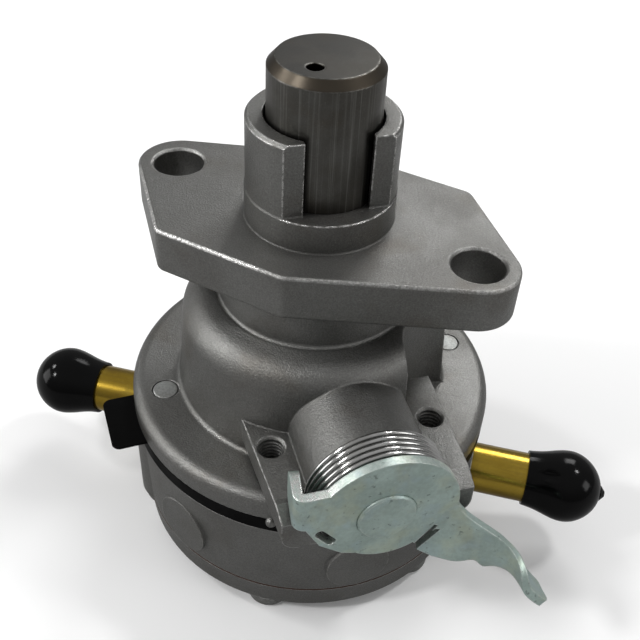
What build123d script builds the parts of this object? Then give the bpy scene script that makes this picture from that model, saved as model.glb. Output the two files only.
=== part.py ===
"""Diaphragm fuel transfer pump with a cam tappet and a hand priming lever.

Frame, in millimetres: the origin is on the tappet's axis at the flange's mounting face, +Z points
up along the tappet towards the engine, and +X runs through the flange's right-hand hole.
"""

import os
from math import cos, radians, sin, sqrt

from build123d import *

# Clearances
RUNNING_FIT = 0.05
SLIDING_GAP = 0.3
SPRING_GAP = 0.2
CLEARANCE_HOLE = 0.25

# Collar that holds the tappet
COLLAR_RADIUS = 12.85
COLLAR_HEIGHT = 18.28
COLLAR_BORE_RADIUS = 9.8
COLLAR_SLOT_HALF_WIDTH = 5.6
COLLAR_CHAMFER = 0.5
COLLAR_RELIEF = 0.2
COLLAR_FLAT_DISTANCE = 8.92
LEDGE_HEIGHT = 5.36

# Tappet
TAPPET_RADIUS = 9.3
TAPPET_TOP = 27.83
TAPPET_CHAMFER = 1.45
TAPPET_FACE_RADIUS = 7.99
TAPPET_HOLLOW_RADIUS = 6.8
TAPPET_CEILING = 2.0
TAPPET_STROKE = 4.5
TAPPET_SPARE_STROKE = 2.5
OIL_HOLE_RADIUS = 1.4
OIL_HOLE_OFFSET = 4.59
OIL_HOLE_AZIMUTH = 275.5

# Mounting flange
HOLE_SPACING = 58.2
HOLE_RADIUS = 4.5
HOLE_CHAMFER = 0.4
FLANGE_THICKNESS = 8.34
FLANGE_END_RADIUS = 7.0
FLANGE_LEFT_END_RADIUS = 7.6
FLANGE_LEFT_END_SHIFT = 0.5
FLANGE_HALF_DEPTH = 19.64
FLANGE_NEAR_CORNER = 3.6
FLANGE_FAR_CORNER = 18.9
FLANGE_CORNER_RADIUS = 2.5
FLANGE_EDGE_ROUND = 0.6

# Neck, dome and rim of the upper body
NECK_RADIUS = 17.6
DOME_TOP = -15.9
DOME_DRAFT = 1.3
DOME_SHOULDER_TOP = -17.7
DOME_SCREW_LAND = 0.8
DOME_SHOULDER_ROUND = 5.4
NECK_FOOT_RADIUS = 18.4
NECK_FOOT_ROUND = 0.7
DOME_FOOT_ROUND = 1.0
BOLT_RELIEF_GAP = 0.3
BOLT_RELIEF_WALL = 2.5
BOLT_RELIEF_FLOOR = 2.0
RIM_RADIUS = 34.64
RIM_TOP = -36.41
RIM_BOTTOM = -40.93
RIM_EDGE_ROUND = 2.2
WALL = 3.3
CHAMBER_ROOF = -20.0
CHAMBER_ROUND = 2.0
NIB_AZIMUTH = 288.0
NIB_RADIUS = 1.0
NIB_DROP = 0.6

# Guide of the pull rod, with its seal
ROD_RADIUS = 2.5
WEB_TOP = -17.0
BUSH_RADIUS = 4.0
BUSH_LENGTH = 3.6
HUB_RADIUS = 8.5
HUB_BOTTOM = -23.6
SEAL_RADIUS = 6.2
SEAL_THICKNESS = 2.4
SEAL_LIP = 1.2
SEAL_LIP_EDGE = 0.5
RETAINER_THICKNESS = 0.6
RETAINER_HOLE_RADIUS = 3.4

# Lever boss and the two ears beside it
BOSS_AZIMUTH = -45.0
BOSS_Z = -29.6
BOSS_RADIUS = 10.7
BOSS_REACH = 6.36
BOSS_INNER_REACH = 5.1
BOSS_HUB_RADIUS = 8.5
EAR_TOP = -29.3
EAR_BOTTOM = -36.9
EAR_STEP = 0.8
EAR_LAND_INNER = 3.55
EAR_LAND_END = 2.05
EAR_START = 15.0
EAR_SLOPE_LENGTH = 3.4
EAR_SLOPE_DROP = 1.3
EAR_CORNER_ROUND = 3.0
SPRING_RECESS_LENGTH = 6.2

# Diaphragm with its gasket and plates
DIAPHRAGM_THICKNESS = 2.91
MEMBRANE_THICKNESS = 1.3
CLAMP_LAND = 2.7
PLATE_RADIUS = 15.0
PLATE_THICKNESS = 1.2
MEMBRANE_TOP = -39.9
MEMBRANE_SAG = 0.8
TAB_AZIMUTH = 228.0
TAB_WIDTH = 12.6
TAB_OVERHANG = 5.66
TAB_THICKNESS = 0.6
TAB_CORNER_ROUND = 1.5
GASKET_THICKNESS = 1.0

# Pull rod
ROD_SHOULDER_RADIUS = 3.5
ROD_SHOULDER_LENGTH = 3.4
ROD_STUD_RADIUS = 2.0
ROD_HEAD_RADIUS = 3.6
ROD_HEAD_HEIGHT = 1.4
SEAT_RADIUS = 6.2
SEAT_THICKNESS = 1.2
COLLAR_DISC_RADIUS = 8.0
COLLAR_DISC_THICKNESS = 2.0
NUT_ACROSS_FLATS = 7.0
NUT_HEIGHT = 2.6
STUD_PROUD = 0.9
RETURN_SPRING_WIRE = 1.3
RETURN_SPRING_TURNS = 5.5

# Lower body
LOWER_STEP = 0.54
LOWER_DRAFT = 0.5
LOWER_BOTTOM = -62.39
BOWL_STEP = 0.5
BOWL_FLOOR = -53.5
BOWL_ROUND = 2.0
FLOOR_THICKNESS = 2.0
PLENUM_STEP = 0.5
DIVIDER_THICKNESS = 3.0
SIDE_PAD_RADIUS = 6.0
SIDE_PAD_AZIMUTHS = (75.0, 135.0, 255.0, 315.0)
NIPPLE_PAD_RADIUS = 10.4
LUG_RADIUS = 6.3
LUG_AZIMUTH = 225.0
COVER_LUG_RADIUS = 5.7
COVER_LUG_DEPTH = 1.6

# Bottom cover, its gasket and the six long screws
COVER_GASKET_THICKNESS = 0.4
COVER_BOTTOM = -68.4
COVER_DRAFT = 0.5
COVER_RECESS_DEPTH = 2.5
COVER_EDGE_ROUND = 0.8
SCREW_EDGE = 5.94
SCREW_COUNT = 6
FIRST_SCREW_AZIMUTH = 45.0
SCREW_RADIUS = 2.5
SCREW_END_RADIUS = 2.25
SCREW_HEAD_RADIUS = 4.2
SCREW_HEAD_HEIGHT = 3.0
SCREW_HEAD_ROUND = 1.2
SCREW_CROSS_LENGTH = 4.6
SCREW_CROSS_WIDTH = 0.9
SCREW_CROSS_DEPTH = 1.6
THREAD_PITCH = 0.8
THREAD_CORE_RADIUS = 2.1

# Brass nipples and their caps
NIPPLE_Z = -55.66
NIPPLE_RADIUS = 4.95
NIPPLE_BORE_RADIUS = 3.6
NIPPLE_SHOULDER = 3.0
NIPPLE_REACH = 22.9
NIPPLE_CHAMFER = 0.5
OUTLET_AZIMUTH = 15.0
INLET_AZIMUTH = 195.0
PASSAGE_RADIUS = 3.4
PASSAGE_SHOULDER = 0.8
CAP_GAP = 0.08
CAP_GRIP = 11.0
CAP_LIP_RADIUS = 5.5
CAP_WAIST_BACK = 8.0
CAP_WAIST_RADIUS = 6.0
CAP_BULB_BACK = 2.4
CAP_BULB_RADIUS = 7.1
CAP_OVERHANG = 4.0
CAP_END_WALL = 2.6
CAP_NUB_RADIUS = 1.9
CAP_NUB_LENGTH = 0.8
OUTLET_CAP_SHIFT = 0.6

# Valves
VALVE_OFFSET = 11.0
VALVE_SEAT_RADIUS = 6.5
VALVE_SEAT_HOLE_RADIUS = 3.8
VALVE_SEAT_HEIGHT = 2.5
VALVE_DISC_RADIUS = 5.2
VALVE_DISC_THICKNESS = 1.0
VALVE_CAGE_WALL = 0.8
VALVE_CAGE_ROOF = 0.6
VALVE_CAGE_HOLE_RADIUS = 1.3
VALVE_CAGE_HOLE_OFFSET = 3.8
VALVE_SPRING_WIRE = 0.4
VALVE_SPRING_RADIUS = 1.8
VALVE_SPRING_TURNS = 2.5
VALVE_LIFT = 1.0
VALVE_WINDOW_WIDTH = 3.2
VALVE_WINDOW_SILL = 1.2
VALVE_WINDOW_HEIGHT = 1.6

# Priming shaft with its cam end, ring and clip
SHAFT_RADIUS = 5.0
SHAFT_INNER_END = 3.2
CAM_LENGTH = 8.0
CAM_FLAT_DROP = 1.0
SHAFT_PROUD = 0.5
RING_GROOVE_INSET = 11.0
RING_WIDTH = 2.0
RING_DEPTH = 1.6
CLIP_THICKNESS = 0.8
CLIP_RADIUS = 7.0
CLIP_GROOVE_DEPTH = 0.6

# Priming lever, in the boss's own frame: a along the boss, l to the right, h up from its axis
LEVER_GAP = 0.35
LEVER_THICKNESS = 1.6
LEVER_DISC_RADIUS = 12.35
LEVER_LOWER_RADIUS = 9.3
LEVER_TAB_SIDE = -15.3
LEVER_TAB_TOP = 7.7
LEVER_TAB_DEPTH = 7.2
LEVER_TAB_CORNER = 1.8
LEVER_TAB_LEAN = 0.9
LEVER_BEND_ROUND = 1.7
LEVER_DISC_CUT = -1.0
LEVER_LOWER_CENTRE = (0.8, -0.6)
LEVER_LOWER_EDGE = ((-2.7, -8.9), (-7.2, -7.2), (-11.0, -4.0))
LEVER_TAIL_SIDE = -13.4
LEVER_ROOT_SIDE = 12.2
SLOT_CENTRE = (-10.0, -2.3)
SLOT_ANGLE = -52.0
SLOT_SPAN = 3.1
SLOT_WIDTH = 1.6
SLIT_CENTRE = (7.4, -7.6)
SLIT_ANGLE = 53.0
SLIT_WIDTH = 0.9
SLIT_LENGTH = 5.6
ARM_TILT = 20.0
ARM_BEND_ANGLE = 63.0
ARM_BEND_SIDE = 10.4
ARM_BEND_HEIGHT = -7.0
ARM_UPPER_EDGE = ((-0.4, 5.6), (3.5, 4.1))
ARM_LOWER_EDGE = ((6.6, -4.7), (1.7, -6.1))
ARM_ROOT_EDGE = ((-1.4, -6.0), (-0.4, -0.6))
TONGUE_ROOT = (10.0, -0.5)
TONGUE_LENGTH = 14.3
TONGUE_TURN = -19.5
TONGUE_TWIST = 78.0
TONGUE_TWIST_LENGTH = 9.0
TONGUE_START_WIDTH = 6.2
TONGUE_WIDTH = 8.4
TONGUE_TIP_WIDTH = 3.6
TONGUE_ROUND_START = 0.55
TONGUE_SECTIONS = 12

# Priming spring
PRIMING_WIRE = 1.0
PRIMING_STAND = 0.15
PRIMING_PITCH = 1.07
PRIMING_TURNS = 4.6
PRIMING_HOOK_ANGLE = 165.0
PRIMING_LEG_LENGTH = 2.6

# Sizes that follow from those above
GUIDE_RADIUS = TAPPET_RADIUS + RUNNING_FIT
TAPPET_BOTTOM = WEB_TOP + TAPPET_STROKE + TAPPET_SPARE_STROKE
DIAPHRAGM_BOTTOM = RIM_BOTTOM - DIAPHRAGM_THICKNESS
LOWER_TOP = DIAPHRAGM_BOTTOM - GASKET_THICKNESS
FLOOR_BOTTOM = BOWL_FLOOR - FLOOR_THICKNESS
COVER_TOP = LOWER_BOTTOM - COVER_GASKET_THICKNESS
SCREW_CIRCLE_RADIUS = RIM_RADIUS - SCREW_EDGE
DOME_FOOT_RADIUS = SCREW_CIRCLE_RADIUS - SCREW_RADIUS - DOME_SCREW_LAND
DOME_TOP_RADIUS = DOME_FOOT_RADIUS - DOME_DRAFT
CHAMBER_RADIUS = DOME_FOOT_RADIUS - WALL
BOLT_RELIEF_RADIUS = HOLE_SPACING / 2 - NECK_FOOT_RADIUS - BOLT_RELIEF_GAP
BOSS_INNER_END = CHAMBER_RADIUS - BOSS_INNER_REACH
CLAMP_RADIUS = SCREW_CIRCLE_RADIUS - SCREW_RADIUS - CLAMP_LAND
BOWL_RADIUS = CLAMP_RADIUS - BOWL_STEP
PLENUM_RADIUS = BOWL_RADIUS - PLENUM_STEP
LOWER_TOP_RADIUS = RIM_RADIUS - LOWER_STEP
LOWER_BOTTOM_RADIUS = LOWER_TOP_RADIUS - LOWER_DRAFT
COVER_BOTTOM_RADIUS = LOWER_BOTTOM_RADIUS - COVER_DRAFT
SIDE_PAD_FACE = LOWER_TOP_RADIUS
TAB_REACH = RIM_RADIUS + TAB_OVERHANG
BOSS_END = RIM_RADIUS + BOSS_REACH
EAR_END = BOSS_END - EAR_STEP
EAR_HOLE_SIDE = SCREW_CIRCLE_RADIUS * sin(radians(180 / SCREW_COUNT))
EAR_HALF_WIDTH_INNER = EAR_HOLE_SIDE + EAR_LAND_INNER
EAR_HALF_WIDTH_END = EAR_HOLE_SIDE + EAR_LAND_END
SPRING_RECESS_START = BOSS_END - SPRING_RECESS_LENGTH
RING_GROOVE_PLACE = BOSS_END - RING_GROOVE_INSET
NIPPLE_INNER_END = BOWL_RADIUS + NIPPLE_SHOULDER
NIPPLE_OUTER_END = SIDE_PAD_FACE + NIPPLE_REACH
PASSAGE_INNER_END = BOWL_RADIUS + PASSAGE_SHOULDER
CAP_LIP = NIPPLE_OUTER_END - CAP_GRIP
CAP_WAIST = NIPPLE_OUTER_END - CAP_WAIST_BACK
CAP_BULB = NIPPLE_OUTER_END - CAP_BULB_BACK
CAP_END = NIPPLE_OUTER_END + CAP_OVERHANG
UPPER_PLATE_TOP = MEMBRANE_TOP + PLATE_THICKNESS
LOWER_PLATE_BOTTOM = MEMBRANE_TOP - MEMBRANE_THICKNESS - PLATE_THICKNESS
ROD_TOP = TAPPET_CEILING
SEAT_TOP = ROD_TOP - ROD_HEAD_HEIGHT
SEAT_BOTTOM = SEAT_TOP - SEAT_THICKNESS
THRUST_COLLAR_BOTTOM = UPPER_PLATE_TOP + ROD_SHOULDER_LENGTH
NUT_BOTTOM = LOWER_PLATE_BOTTOM - NUT_HEIGHT
LEVER_BACK = BOSS_END + LEVER_GAP
LEVER_FRONT = LEVER_BACK + LEVER_THICKNESS
LEVER_TAB_BOTTOM = EAR_TOP - BOSS_Z + SLIDING_GAP
VALVE_SPRING_SOLID = (VALVE_SPRING_TURNS + 0.5) * VALVE_SPRING_WIRE
VALVE_CAGE_HEIGHT = VALVE_DISC_THICKNESS + VALVE_LIFT + VALVE_SPRING_SOLID + VALVE_CAGE_ROOF
PRIMING_COIL_RADIUS = BOSS_RADIUS + SPRING_GAP + PRIMING_WIRE / 2
PRIMING_COILS_START = SPRING_RECESS_START + PRIMING_STAND + PRIMING_WIRE / 2
RECESS_RADIUS = PRIMING_COIL_RADIUS + PRIMING_WIRE / 2 + SPRING_GAP * 3


def round_bar(radius, low, high):
    """A solid cylinder about Z between two heights."""
    return Pos(0, 0, low) * Cylinder(radius, high - low, align=(Align.CENTER, Align.CENTER, Align.MIN))


def ring(outer_radius, inner_radius, low, high):
    """A tube about Z between two heights."""
    return round_bar(outer_radius, low, high) - round_bar(inner_radius, low, high)


def turned(points):
    """A solid of revolution about Z from a closed outline of (radius, height) points."""
    outline = [(radius, 0, height) for radius, height in points]
    return revolve(make_face(Polyline(*outline, close=True)), Axis.Z, 360)


def turned_edges(edges):
    """A solid of revolution about Z from edges drawn in the XZ plane."""
    return revolve(make_face(edges), Axis.Z, 360)


def on_circle(radius, azimuth, height=0.0):
    """The place at a radius and azimuth about Z, turned to face outwards."""
    angle = radians(azimuth)
    return Location((radius * cos(angle), radius * sin(angle), height), (0, 0, azimuth))


def along_boss(shape):
    """Puts a shape drawn about Z on the lever boss's axis, with its heights counted outwards."""
    return Location((0, 0, BOSS_Z), (0, 0, BOSS_AZIMUTH)) * Rot(0, 90, 0) * shape


def in_boss_frame(shape):
    """Puts a shape drawn in the boss's frame (a, l, h) in the pump's frame."""
    return Location((0, 0, BOSS_Z), (0, 0, BOSS_AZIMUTH)) * shape


def along_nipple(shape, azimuth):
    """Puts a shape drawn about Z on a nipple's axis, with its heights counted outwards."""
    return Location((0, 0, NIPPLE_Z), (0, 0, azimuth)) * Rot(0, 90, 0) * shape


def circular_edges(shape, radius, height):
    """The full-circle edges of one radius at one height."""
    found = []
    for edge in shape.edges().filter_by(GeomType.CIRCLE):
        same_height = abs(edge.center().Z - height) < 1e-3
        if same_height and abs(edge.radius - radius) < 1e-3:
            found.append(edge)
    return found


def coil(mean_radius, wire, low, turns, pitch, start_angle=0.0):
    """A helical wire spring about Z, whose wire's centre starts at a height."""
    path = Helix(pitch, pitch * turns, mean_radius)
    section = Plane(origin=path @ 0, z_dir=path % 0) * Circle(wire / 2)
    return Location((0, 0, low), (0, 0, start_angle)) * sweep(section, path=path)


def screw_places():
    """The azimuths of the six screws."""
    return [FIRST_SCREW_AZIMUTH + 360.0 / SCREW_COUNT * index for index in range(SCREW_COUNT)]


def screw_holes(radius, low, high):
    """Cutters for the six screws between two heights."""
    cutters = [on_circle(SCREW_CIRCLE_RADIUS, azimuth) * round_bar(radius, low, high)
               for azimuth in screw_places()]
    return cutters


def ear_azimuths():
    """The two screw azimuths that come up in the ears."""
    half_angle = 180.0 / SCREW_COUNT
    return (BOSS_AZIMUTH - half_angle, BOSS_AZIMUTH + half_angle)


def flange_plate():
    """The hexagonal flange with rounded ends, without its holes."""
    end = HOLE_SPACING / 2
    belly = FLANGE_HALF_DEPTH - FLANGE_CORNER_RADIUS
    corners = []
    corners.append(Pos(end, 0) * Circle(FLANGE_END_RADIUS))
    corners.append(Pos(-end, FLANGE_LEFT_END_SHIFT) * Circle(FLANGE_LEFT_END_RADIUS))
    for side in (1, -1):
        corners.append(Pos(-side * FLANGE_FAR_CORNER, -side * belly) * Circle(FLANGE_CORNER_RADIUS))
        corners.append(Pos(side * FLANGE_NEAR_CORNER, -side * belly) * Circle(FLANGE_CORNER_RADIUS))
    outline = make_hull([corner.edge() for corner in corners])
    plate = extrude(outline, FLANGE_THICKNESS, dir=(0, 0, -1))
    rims = plate.edges().group_by(Axis.Z)
    return fillet(list(rims[0]) + list(rims[-1]), FLANGE_EDGE_ROUND)


def flange_hole_cutter():
    """One flange hole with its lightly chamfered mouths."""
    reach = HOLE_RADIUS + HOLE_CHAMFER
    return turned([
        (0, 0.1), (reach + 0.1, 0.1), (HOLE_RADIUS, -HOLE_CHAMFER),
        (HOLE_RADIUS, HOLE_CHAMFER - FLANGE_THICKNESS),
        (reach + 0.1, -FLANGE_THICKNESS - 0.1), (0, -FLANGE_THICKNESS - 0.1),
    ])


def dome_and_rim():
    """The neck and the dome on its rim, solid, with the round shoulder and edges."""
    body = turned([
        (0, -FLANGE_THICKNESS / 2), (NECK_RADIUS, -FLANGE_THICKNESS / 2), (NECK_RADIUS, DOME_TOP),
        (NECK_FOOT_RADIUS, DOME_TOP), (DOME_TOP_RADIUS, DOME_SHOULDER_TOP), (DOME_FOOT_RADIUS, RIM_TOP),
        (RIM_RADIUS, RIM_TOP), (RIM_RADIUS, RIM_BOTTOM), (0, RIM_BOTTOM),
    ])
    body = fillet(circular_edges(body, NECK_RADIUS, DOME_TOP), NECK_FOOT_ROUND)
    body = fillet(circular_edges(body, DOME_TOP_RADIUS, DOME_SHOULDER_TOP), DOME_SHOULDER_ROUND)
    body = fillet(circular_edges(body, DOME_FOOT_RADIUS, RIM_TOP), DOME_FOOT_ROUND)
    body = fillet(circular_edges(body, RIM_RADIUS, RIM_TOP), RIM_EDGE_ROUND)
    for side in (-1, 1):
        body -= Pos(side * HOLE_SPACING / 2, 0, 0) * round_bar(BOLT_RELIEF_RADIUS, RIM_TOP, DOME_TOP + 1)
    return body


def ears():
    """The two flat pads beside the boss, drawn as one block whose middle the spring recess takes."""
    top = EAR_TOP - BOSS_Z
    bottom = EAR_BOTTOM - BOSS_Z
    outline = Polyline(
        (EAR_START, -EAR_HALF_WIDTH_INNER), (EAR_END, -EAR_HALF_WIDTH_END),
        (EAR_END, EAR_HALF_WIDTH_END), (EAR_START, EAR_HALF_WIDTH_INNER), close=True)
    block = Pos(0, 0, bottom) * extrude(make_face(outline), top - bottom)
    slope = Polyline(
        (EAR_END - EAR_SLOPE_LENGTH, 0, top), (EAR_END + 1, 0, top),
        (EAR_END + 1, 0, top - EAR_SLOPE_DROP * (1 + 1 / EAR_SLOPE_LENGTH)), close=True)
    block -= extrude(make_face(slope), 2 * EAR_HALF_WIDTH_INNER, both=True)
    low_edges = [edge for edge in block.edges().filter_by(GeomType.LINE)
                 if abs(edge.center().Z - bottom) < 1e-3 and abs(edge.center().Y) > EAR_HALF_WIDTH_END - 1]
    return fillet(low_edges, EAR_CORNER_ROUND)


def tapped_hole(low, high):
    """A tapped hole's cutter, open upwards, with its thread cut as rings."""
    depth = SCREW_RADIUS - THREAD_CORE_RADIUS
    points = [(0, low), (THREAD_CORE_RADIUS, low)]
    height = low
    while height + THREAD_PITCH < high - depth:
        points.append((THREAD_CORE_RADIUS, height + THREAD_PITCH * 0.2))
        points.append((SCREW_RADIUS - 0.05, height + THREAD_PITCH * 0.55))
        points.append((THREAD_CORE_RADIUS, height + THREAD_PITCH * 0.9))
        height += THREAD_PITCH
    points += [(THREAD_CORE_RADIUS, high - depth), (SCREW_RADIUS, high), (SCREW_RADIUS, high + 1)]
    points.append((0, high + 1))
    return turned(points)


def chamber_cutter():
    """The dry chamber under the dome, round the rod's hub."""
    flare = CLAMP_RADIUS - CHAMBER_RADIUS
    cavity = turned([
        (0, CHAMBER_ROOF), (CHAMBER_RADIUS - CHAMBER_ROUND, CHAMBER_ROOF),
        (CHAMBER_RADIUS, CHAMBER_ROOF - CHAMBER_ROUND), (CHAMBER_RADIUS, RIM_TOP),
        (CLAMP_RADIUS, RIM_TOP - flare), (CLAMP_RADIUS, RIM_BOTTOM), (0, RIM_BOTTOM),
    ])
    cavity -= round_bar(HUB_RADIUS, HUB_BOTTOM, CHAMBER_ROOF)
    jacket = round_bar(BOLT_RELIEF_RADIUS + BOLT_RELIEF_WALL, RIM_TOP - BOLT_RELIEF_FLOOR, CHAMBER_ROOF + 1)
    for side in (-1, 1):
        cavity -= Pos(side * HOLE_SPACING / 2, 0, 0) * jacket
    return cavity


def upper_body():
    """The casting with collar, flange, neck, dome, rim, ears and lever boss."""
    collar = round_bar(COLLAR_RADIUS - COLLAR_RELIEF, -FLANGE_THICKNESS, COLLAR_HEIGHT)
    collar = chamfer(collar.edges().group_by(Axis.Z)[-1], COLLAR_CHAMFER)
    collar += round_bar(COLLAR_RADIUS, -FLANGE_THICKNESS, LEDGE_HEIGHT)
    body = dome_and_rim() + in_boss_frame(ears())
    body += flange_plate() + collar
    body += along_boss(round_bar(BOSS_RADIUS, BOSS_INNER_END, BOSS_END - 0.01))
    nib = on_circle(RIM_RADIUS, NIB_AZIMUTH, RIM_BOTTOM - NIB_DROP) * Sphere(NIB_RADIUS)
    body += nib - round_bar(RIM_RADIUS + RUNNING_FIT, RIM_BOTTOM - 2, RIM_BOTTOM)
    body -= chamber_cutter()
    body += along_boss(round_bar(BOSS_HUB_RADIUS, BOSS_INNER_END, CHAMBER_RADIUS + 1))
    body -= along_boss(ring(RECESS_RADIUS, BOSS_RADIUS, SPRING_RECESS_START, BOSS_END + 1))
    body -= along_boss(round_bar(SHAFT_RADIUS + RUNNING_FIT, BOSS_INNER_END - 1, BOSS_END + 1))
    body -= along_boss(priming_leg_hole())
    body -= round_bar(COLLAR_BORE_RADIUS, LEDGE_HEIGHT, COLLAR_HEIGHT + 1)
    body -= round_bar(GUIDE_RADIUS, WEB_TOP, LEDGE_HEIGHT)
    body -= round_bar(BUSH_RADIUS, WEB_TOP - BUSH_LENGTH, WEB_TOP)
    body -= round_bar(SEAL_RADIUS, HUB_BOTTOM, WEB_TOP - BUSH_LENGTH)
    flat_depth = COLLAR_RADIUS - COLLAR_FLAT_DISTANCE + 1
    flat = Box(flat_depth, 3 * COLLAR_RADIUS, COLLAR_HEIGHT - LEDGE_HEIGHT + 1,
               align=(Align.MIN, Align.CENTER, Align.MIN))
    body -= on_circle(COLLAR_FLAT_DISTANCE, BOSS_AZIMUTH, LEDGE_HEIGHT) * flat
    slot = Box(COLLAR_RADIUS, 2 * COLLAR_SLOT_HALF_WIDTH, COLLAR_HEIGHT - LEDGE_HEIGHT + 1,
               align=(Align.MIN, Align.CENTER, Align.MIN))
    body -= on_circle(0, BOSS_AZIMUTH, LEDGE_HEIGHT) * slot
    for side in (-1, 1):
        body -= Pos(side * HOLE_SPACING / 2, 0, 0) * flange_hole_cutter()
    for cutter in screw_holes(SCREW_RADIUS, RIM_BOTTOM, RIM_TOP + 0.01):
        body -= cutter
    for azimuth in ear_azimuths():
        body -= on_circle(SCREW_CIRCLE_RADIUS, azimuth) * tapped_hole(RIM_TOP, EAR_TOP)
    return body


def tappet():
    """The ground plunger, hollow underneath."""
    edge = TAPPET_RADIUS - TAPPET_FACE_RADIUS
    outline = [
        (0, TAPPET_CEILING), (TAPPET_HOLLOW_RADIUS, TAPPET_CEILING), (TAPPET_HOLLOW_RADIUS, TAPPET_BOTTOM),
        (TAPPET_RADIUS - edge / 2, TAPPET_BOTTOM), (TAPPET_RADIUS, TAPPET_BOTTOM + edge / 2),
        (TAPPET_RADIUS, TAPPET_TOP - TAPPET_CHAMFER), (TAPPET_FACE_RADIUS, TAPPET_TOP), (0, TAPPET_TOP),
    ]
    hole = on_circle(OIL_HOLE_OFFSET, OIL_HOLE_AZIMUTH)
    hole *= round_bar(OIL_HOLE_RADIUS, TAPPET_CEILING - 1, TAPPET_TOP + 1)
    return turned(outline) - hole


def rod_guide_bush():
    """Bronze bush pressed into the web."""
    return ring(BUSH_RADIUS, ROD_RADIUS + RUNNING_FIT, WEB_TOP - BUSH_LENGTH, WEB_TOP)


def rod_oil_seal():
    """Rubber lip seal under the bush."""
    top = WEB_TOP - BUSH_LENGTH
    bottom = top - SEAL_THICKNESS
    lip = ROD_RADIUS + RUNNING_FIT
    return turned([
        (lip + SEAL_LIP, top), (SEAL_RADIUS, top), (SEAL_RADIUS, bottom), (lip, bottom),
        (lip, bottom + SEAL_LIP_EDGE), (lip + SEAL_LIP, bottom + 2 * SEAL_LIP_EDGE),
    ])


def seal_retainer():
    """Pressed washer that holds the seal up."""
    return ring(SEAL_RADIUS, RETAINER_HOLE_RADIUS, HUB_BOTTOM, HUB_BOTTOM + RETAINER_THICKNESS)


def pull_rod():
    """The rod from the tappet's ceiling to the diaphragm nut."""
    return turned([
        (0, ROD_TOP), (ROD_HEAD_RADIUS, ROD_TOP), (ROD_HEAD_RADIUS, SEAT_TOP), (ROD_RADIUS, SEAT_TOP),
        (ROD_RADIUS, THRUST_COLLAR_BOTTOM), (ROD_SHOULDER_RADIUS, THRUST_COLLAR_BOTTOM),
        (ROD_SHOULDER_RADIUS, UPPER_PLATE_TOP), (ROD_STUD_RADIUS, UPPER_PLATE_TOP),
        (ROD_STUD_RADIUS, NUT_BOTTOM - STUD_PROUD), (0, NUT_BOTTOM - STUD_PROUD),
    ])


def spring_seat():
    """Washer under the rod's head that the return spring pushes."""
    return ring(SEAT_RADIUS, ROD_RADIUS, SEAT_BOTTOM, SEAT_TOP)


def return_spring():
    """Compression spring between the web and the spring seat."""
    wire = RETURN_SPRING_WIRE
    low = WEB_TOP + wire / 2
    high = SEAT_BOTTOM - wire / 2
    pitch = (high - low) / RETURN_SPRING_TURNS
    return coil(SEAT_RADIUS - wire / 2, wire, low, RETURN_SPRING_TURNS, pitch)


def thrust_collar():
    """Collar that the priming shaft's cam end pushes down."""
    top = THRUST_COLLAR_BOTTOM + COLLAR_DISC_THICKNESS
    return ring(COLLAR_DISC_RADIUS, ROD_RADIUS, THRUST_COLLAR_BOTTOM, top)


def diaphragm_plate(bottom):
    """One of the two plates that clamp the rubber, with a turned edge."""
    plate = ring(PLATE_RADIUS, ROD_STUD_RADIUS, bottom, bottom + PLATE_THICKNESS)
    return fillet(circular_edges(plate, PLATE_RADIUS, bottom), PLATE_THICKNESS / 3)


def diaphragm_nut():
    """Hexagon nut under the lower plate."""
    flats = extrude(RegularPolygon(NUT_ACROSS_FLATS / 2, 6, major_radius=False), NUT_HEIGHT)
    return Pos(0, 0, NUT_BOTTOM) * flats - round_bar(ROD_STUD_RADIUS, NUT_BOTTOM - 1, LOWER_PLATE_BOTTOM + 1)


def diaphragm():
    """The rubber: clamped band, tab and the rolled membrane."""
    band_top = RIM_BOTTOM
    middle_low = (RIM_BOTTOM + DIAPHRAGM_BOTTOM - MEMBRANE_THICKNESS) / 2
    band = ring(RIM_RADIUS, CLAMP_RADIUS, DIAPHRAGM_BOTTOM, band_top)
    reach = Box(TAB_REACH - CLAMP_RADIUS - 1, TAB_WIDTH, TAB_THICKNESS,
                align=(Align.MIN, Align.CENTER, Align.MAX))
    outer = [edge for edge in reach.edges().filter_by(Axis.Z) if edge.center().X > 1]
    band += on_circle(CLAMP_RADIUS + 1, TAB_AZIMUTH, band_top) * fillet(outer, TAB_CORNER_ROUND)
    for cutter in screw_holes(SCREW_RADIUS + CLEARANCE_HOLE, DIAPHRAGM_BOTTOM - 1, band_top + 1):
        band -= cutter
    centre = ring(PLATE_RADIUS, ROD_STUD_RADIUS, MEMBRANE_TOP - MEMBRANE_THICKNESS, MEMBRANE_TOP)
    roll_radius = (PLATE_RADIUS + CLAMP_RADIUS) / 2
    roll_top = middle_low + MEMBRANE_THICKNESS - MEMBRANE_SAG
    thickness = Vector(0, 0, -MEMBRANE_THICKNESS)
    top_points = [Vector(PLATE_RADIUS - 0.01, 0, MEMBRANE_TOP), Vector(roll_radius, 0, roll_top),
                  Vector(CLAMP_RADIUS + 0.01, 0, middle_low + MEMBRANE_THICKNESS)]
    low_points = [point + thickness for point in top_points]
    outline = ThreePointArc(*top_points) + Line(top_points[2], low_points[2])
    outline += ThreePointArc(*reversed(low_points)) + Line(low_points[0], top_points[0])
    return band + centre + turned_edges(outline)


def diaphragm_gasket():
    """Flat gasket under the diaphragm."""
    gasket = ring(LOWER_TOP_RADIUS, BOWL_RADIUS, LOWER_TOP, DIAPHRAGM_BOTTOM)
    for cutter in screw_holes(SCREW_RADIUS + CLEARANCE_HOLE, LOWER_TOP - 1, DIAPHRAGM_BOTTOM + 1):
        gasket -= cutter
    return gasket


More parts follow.
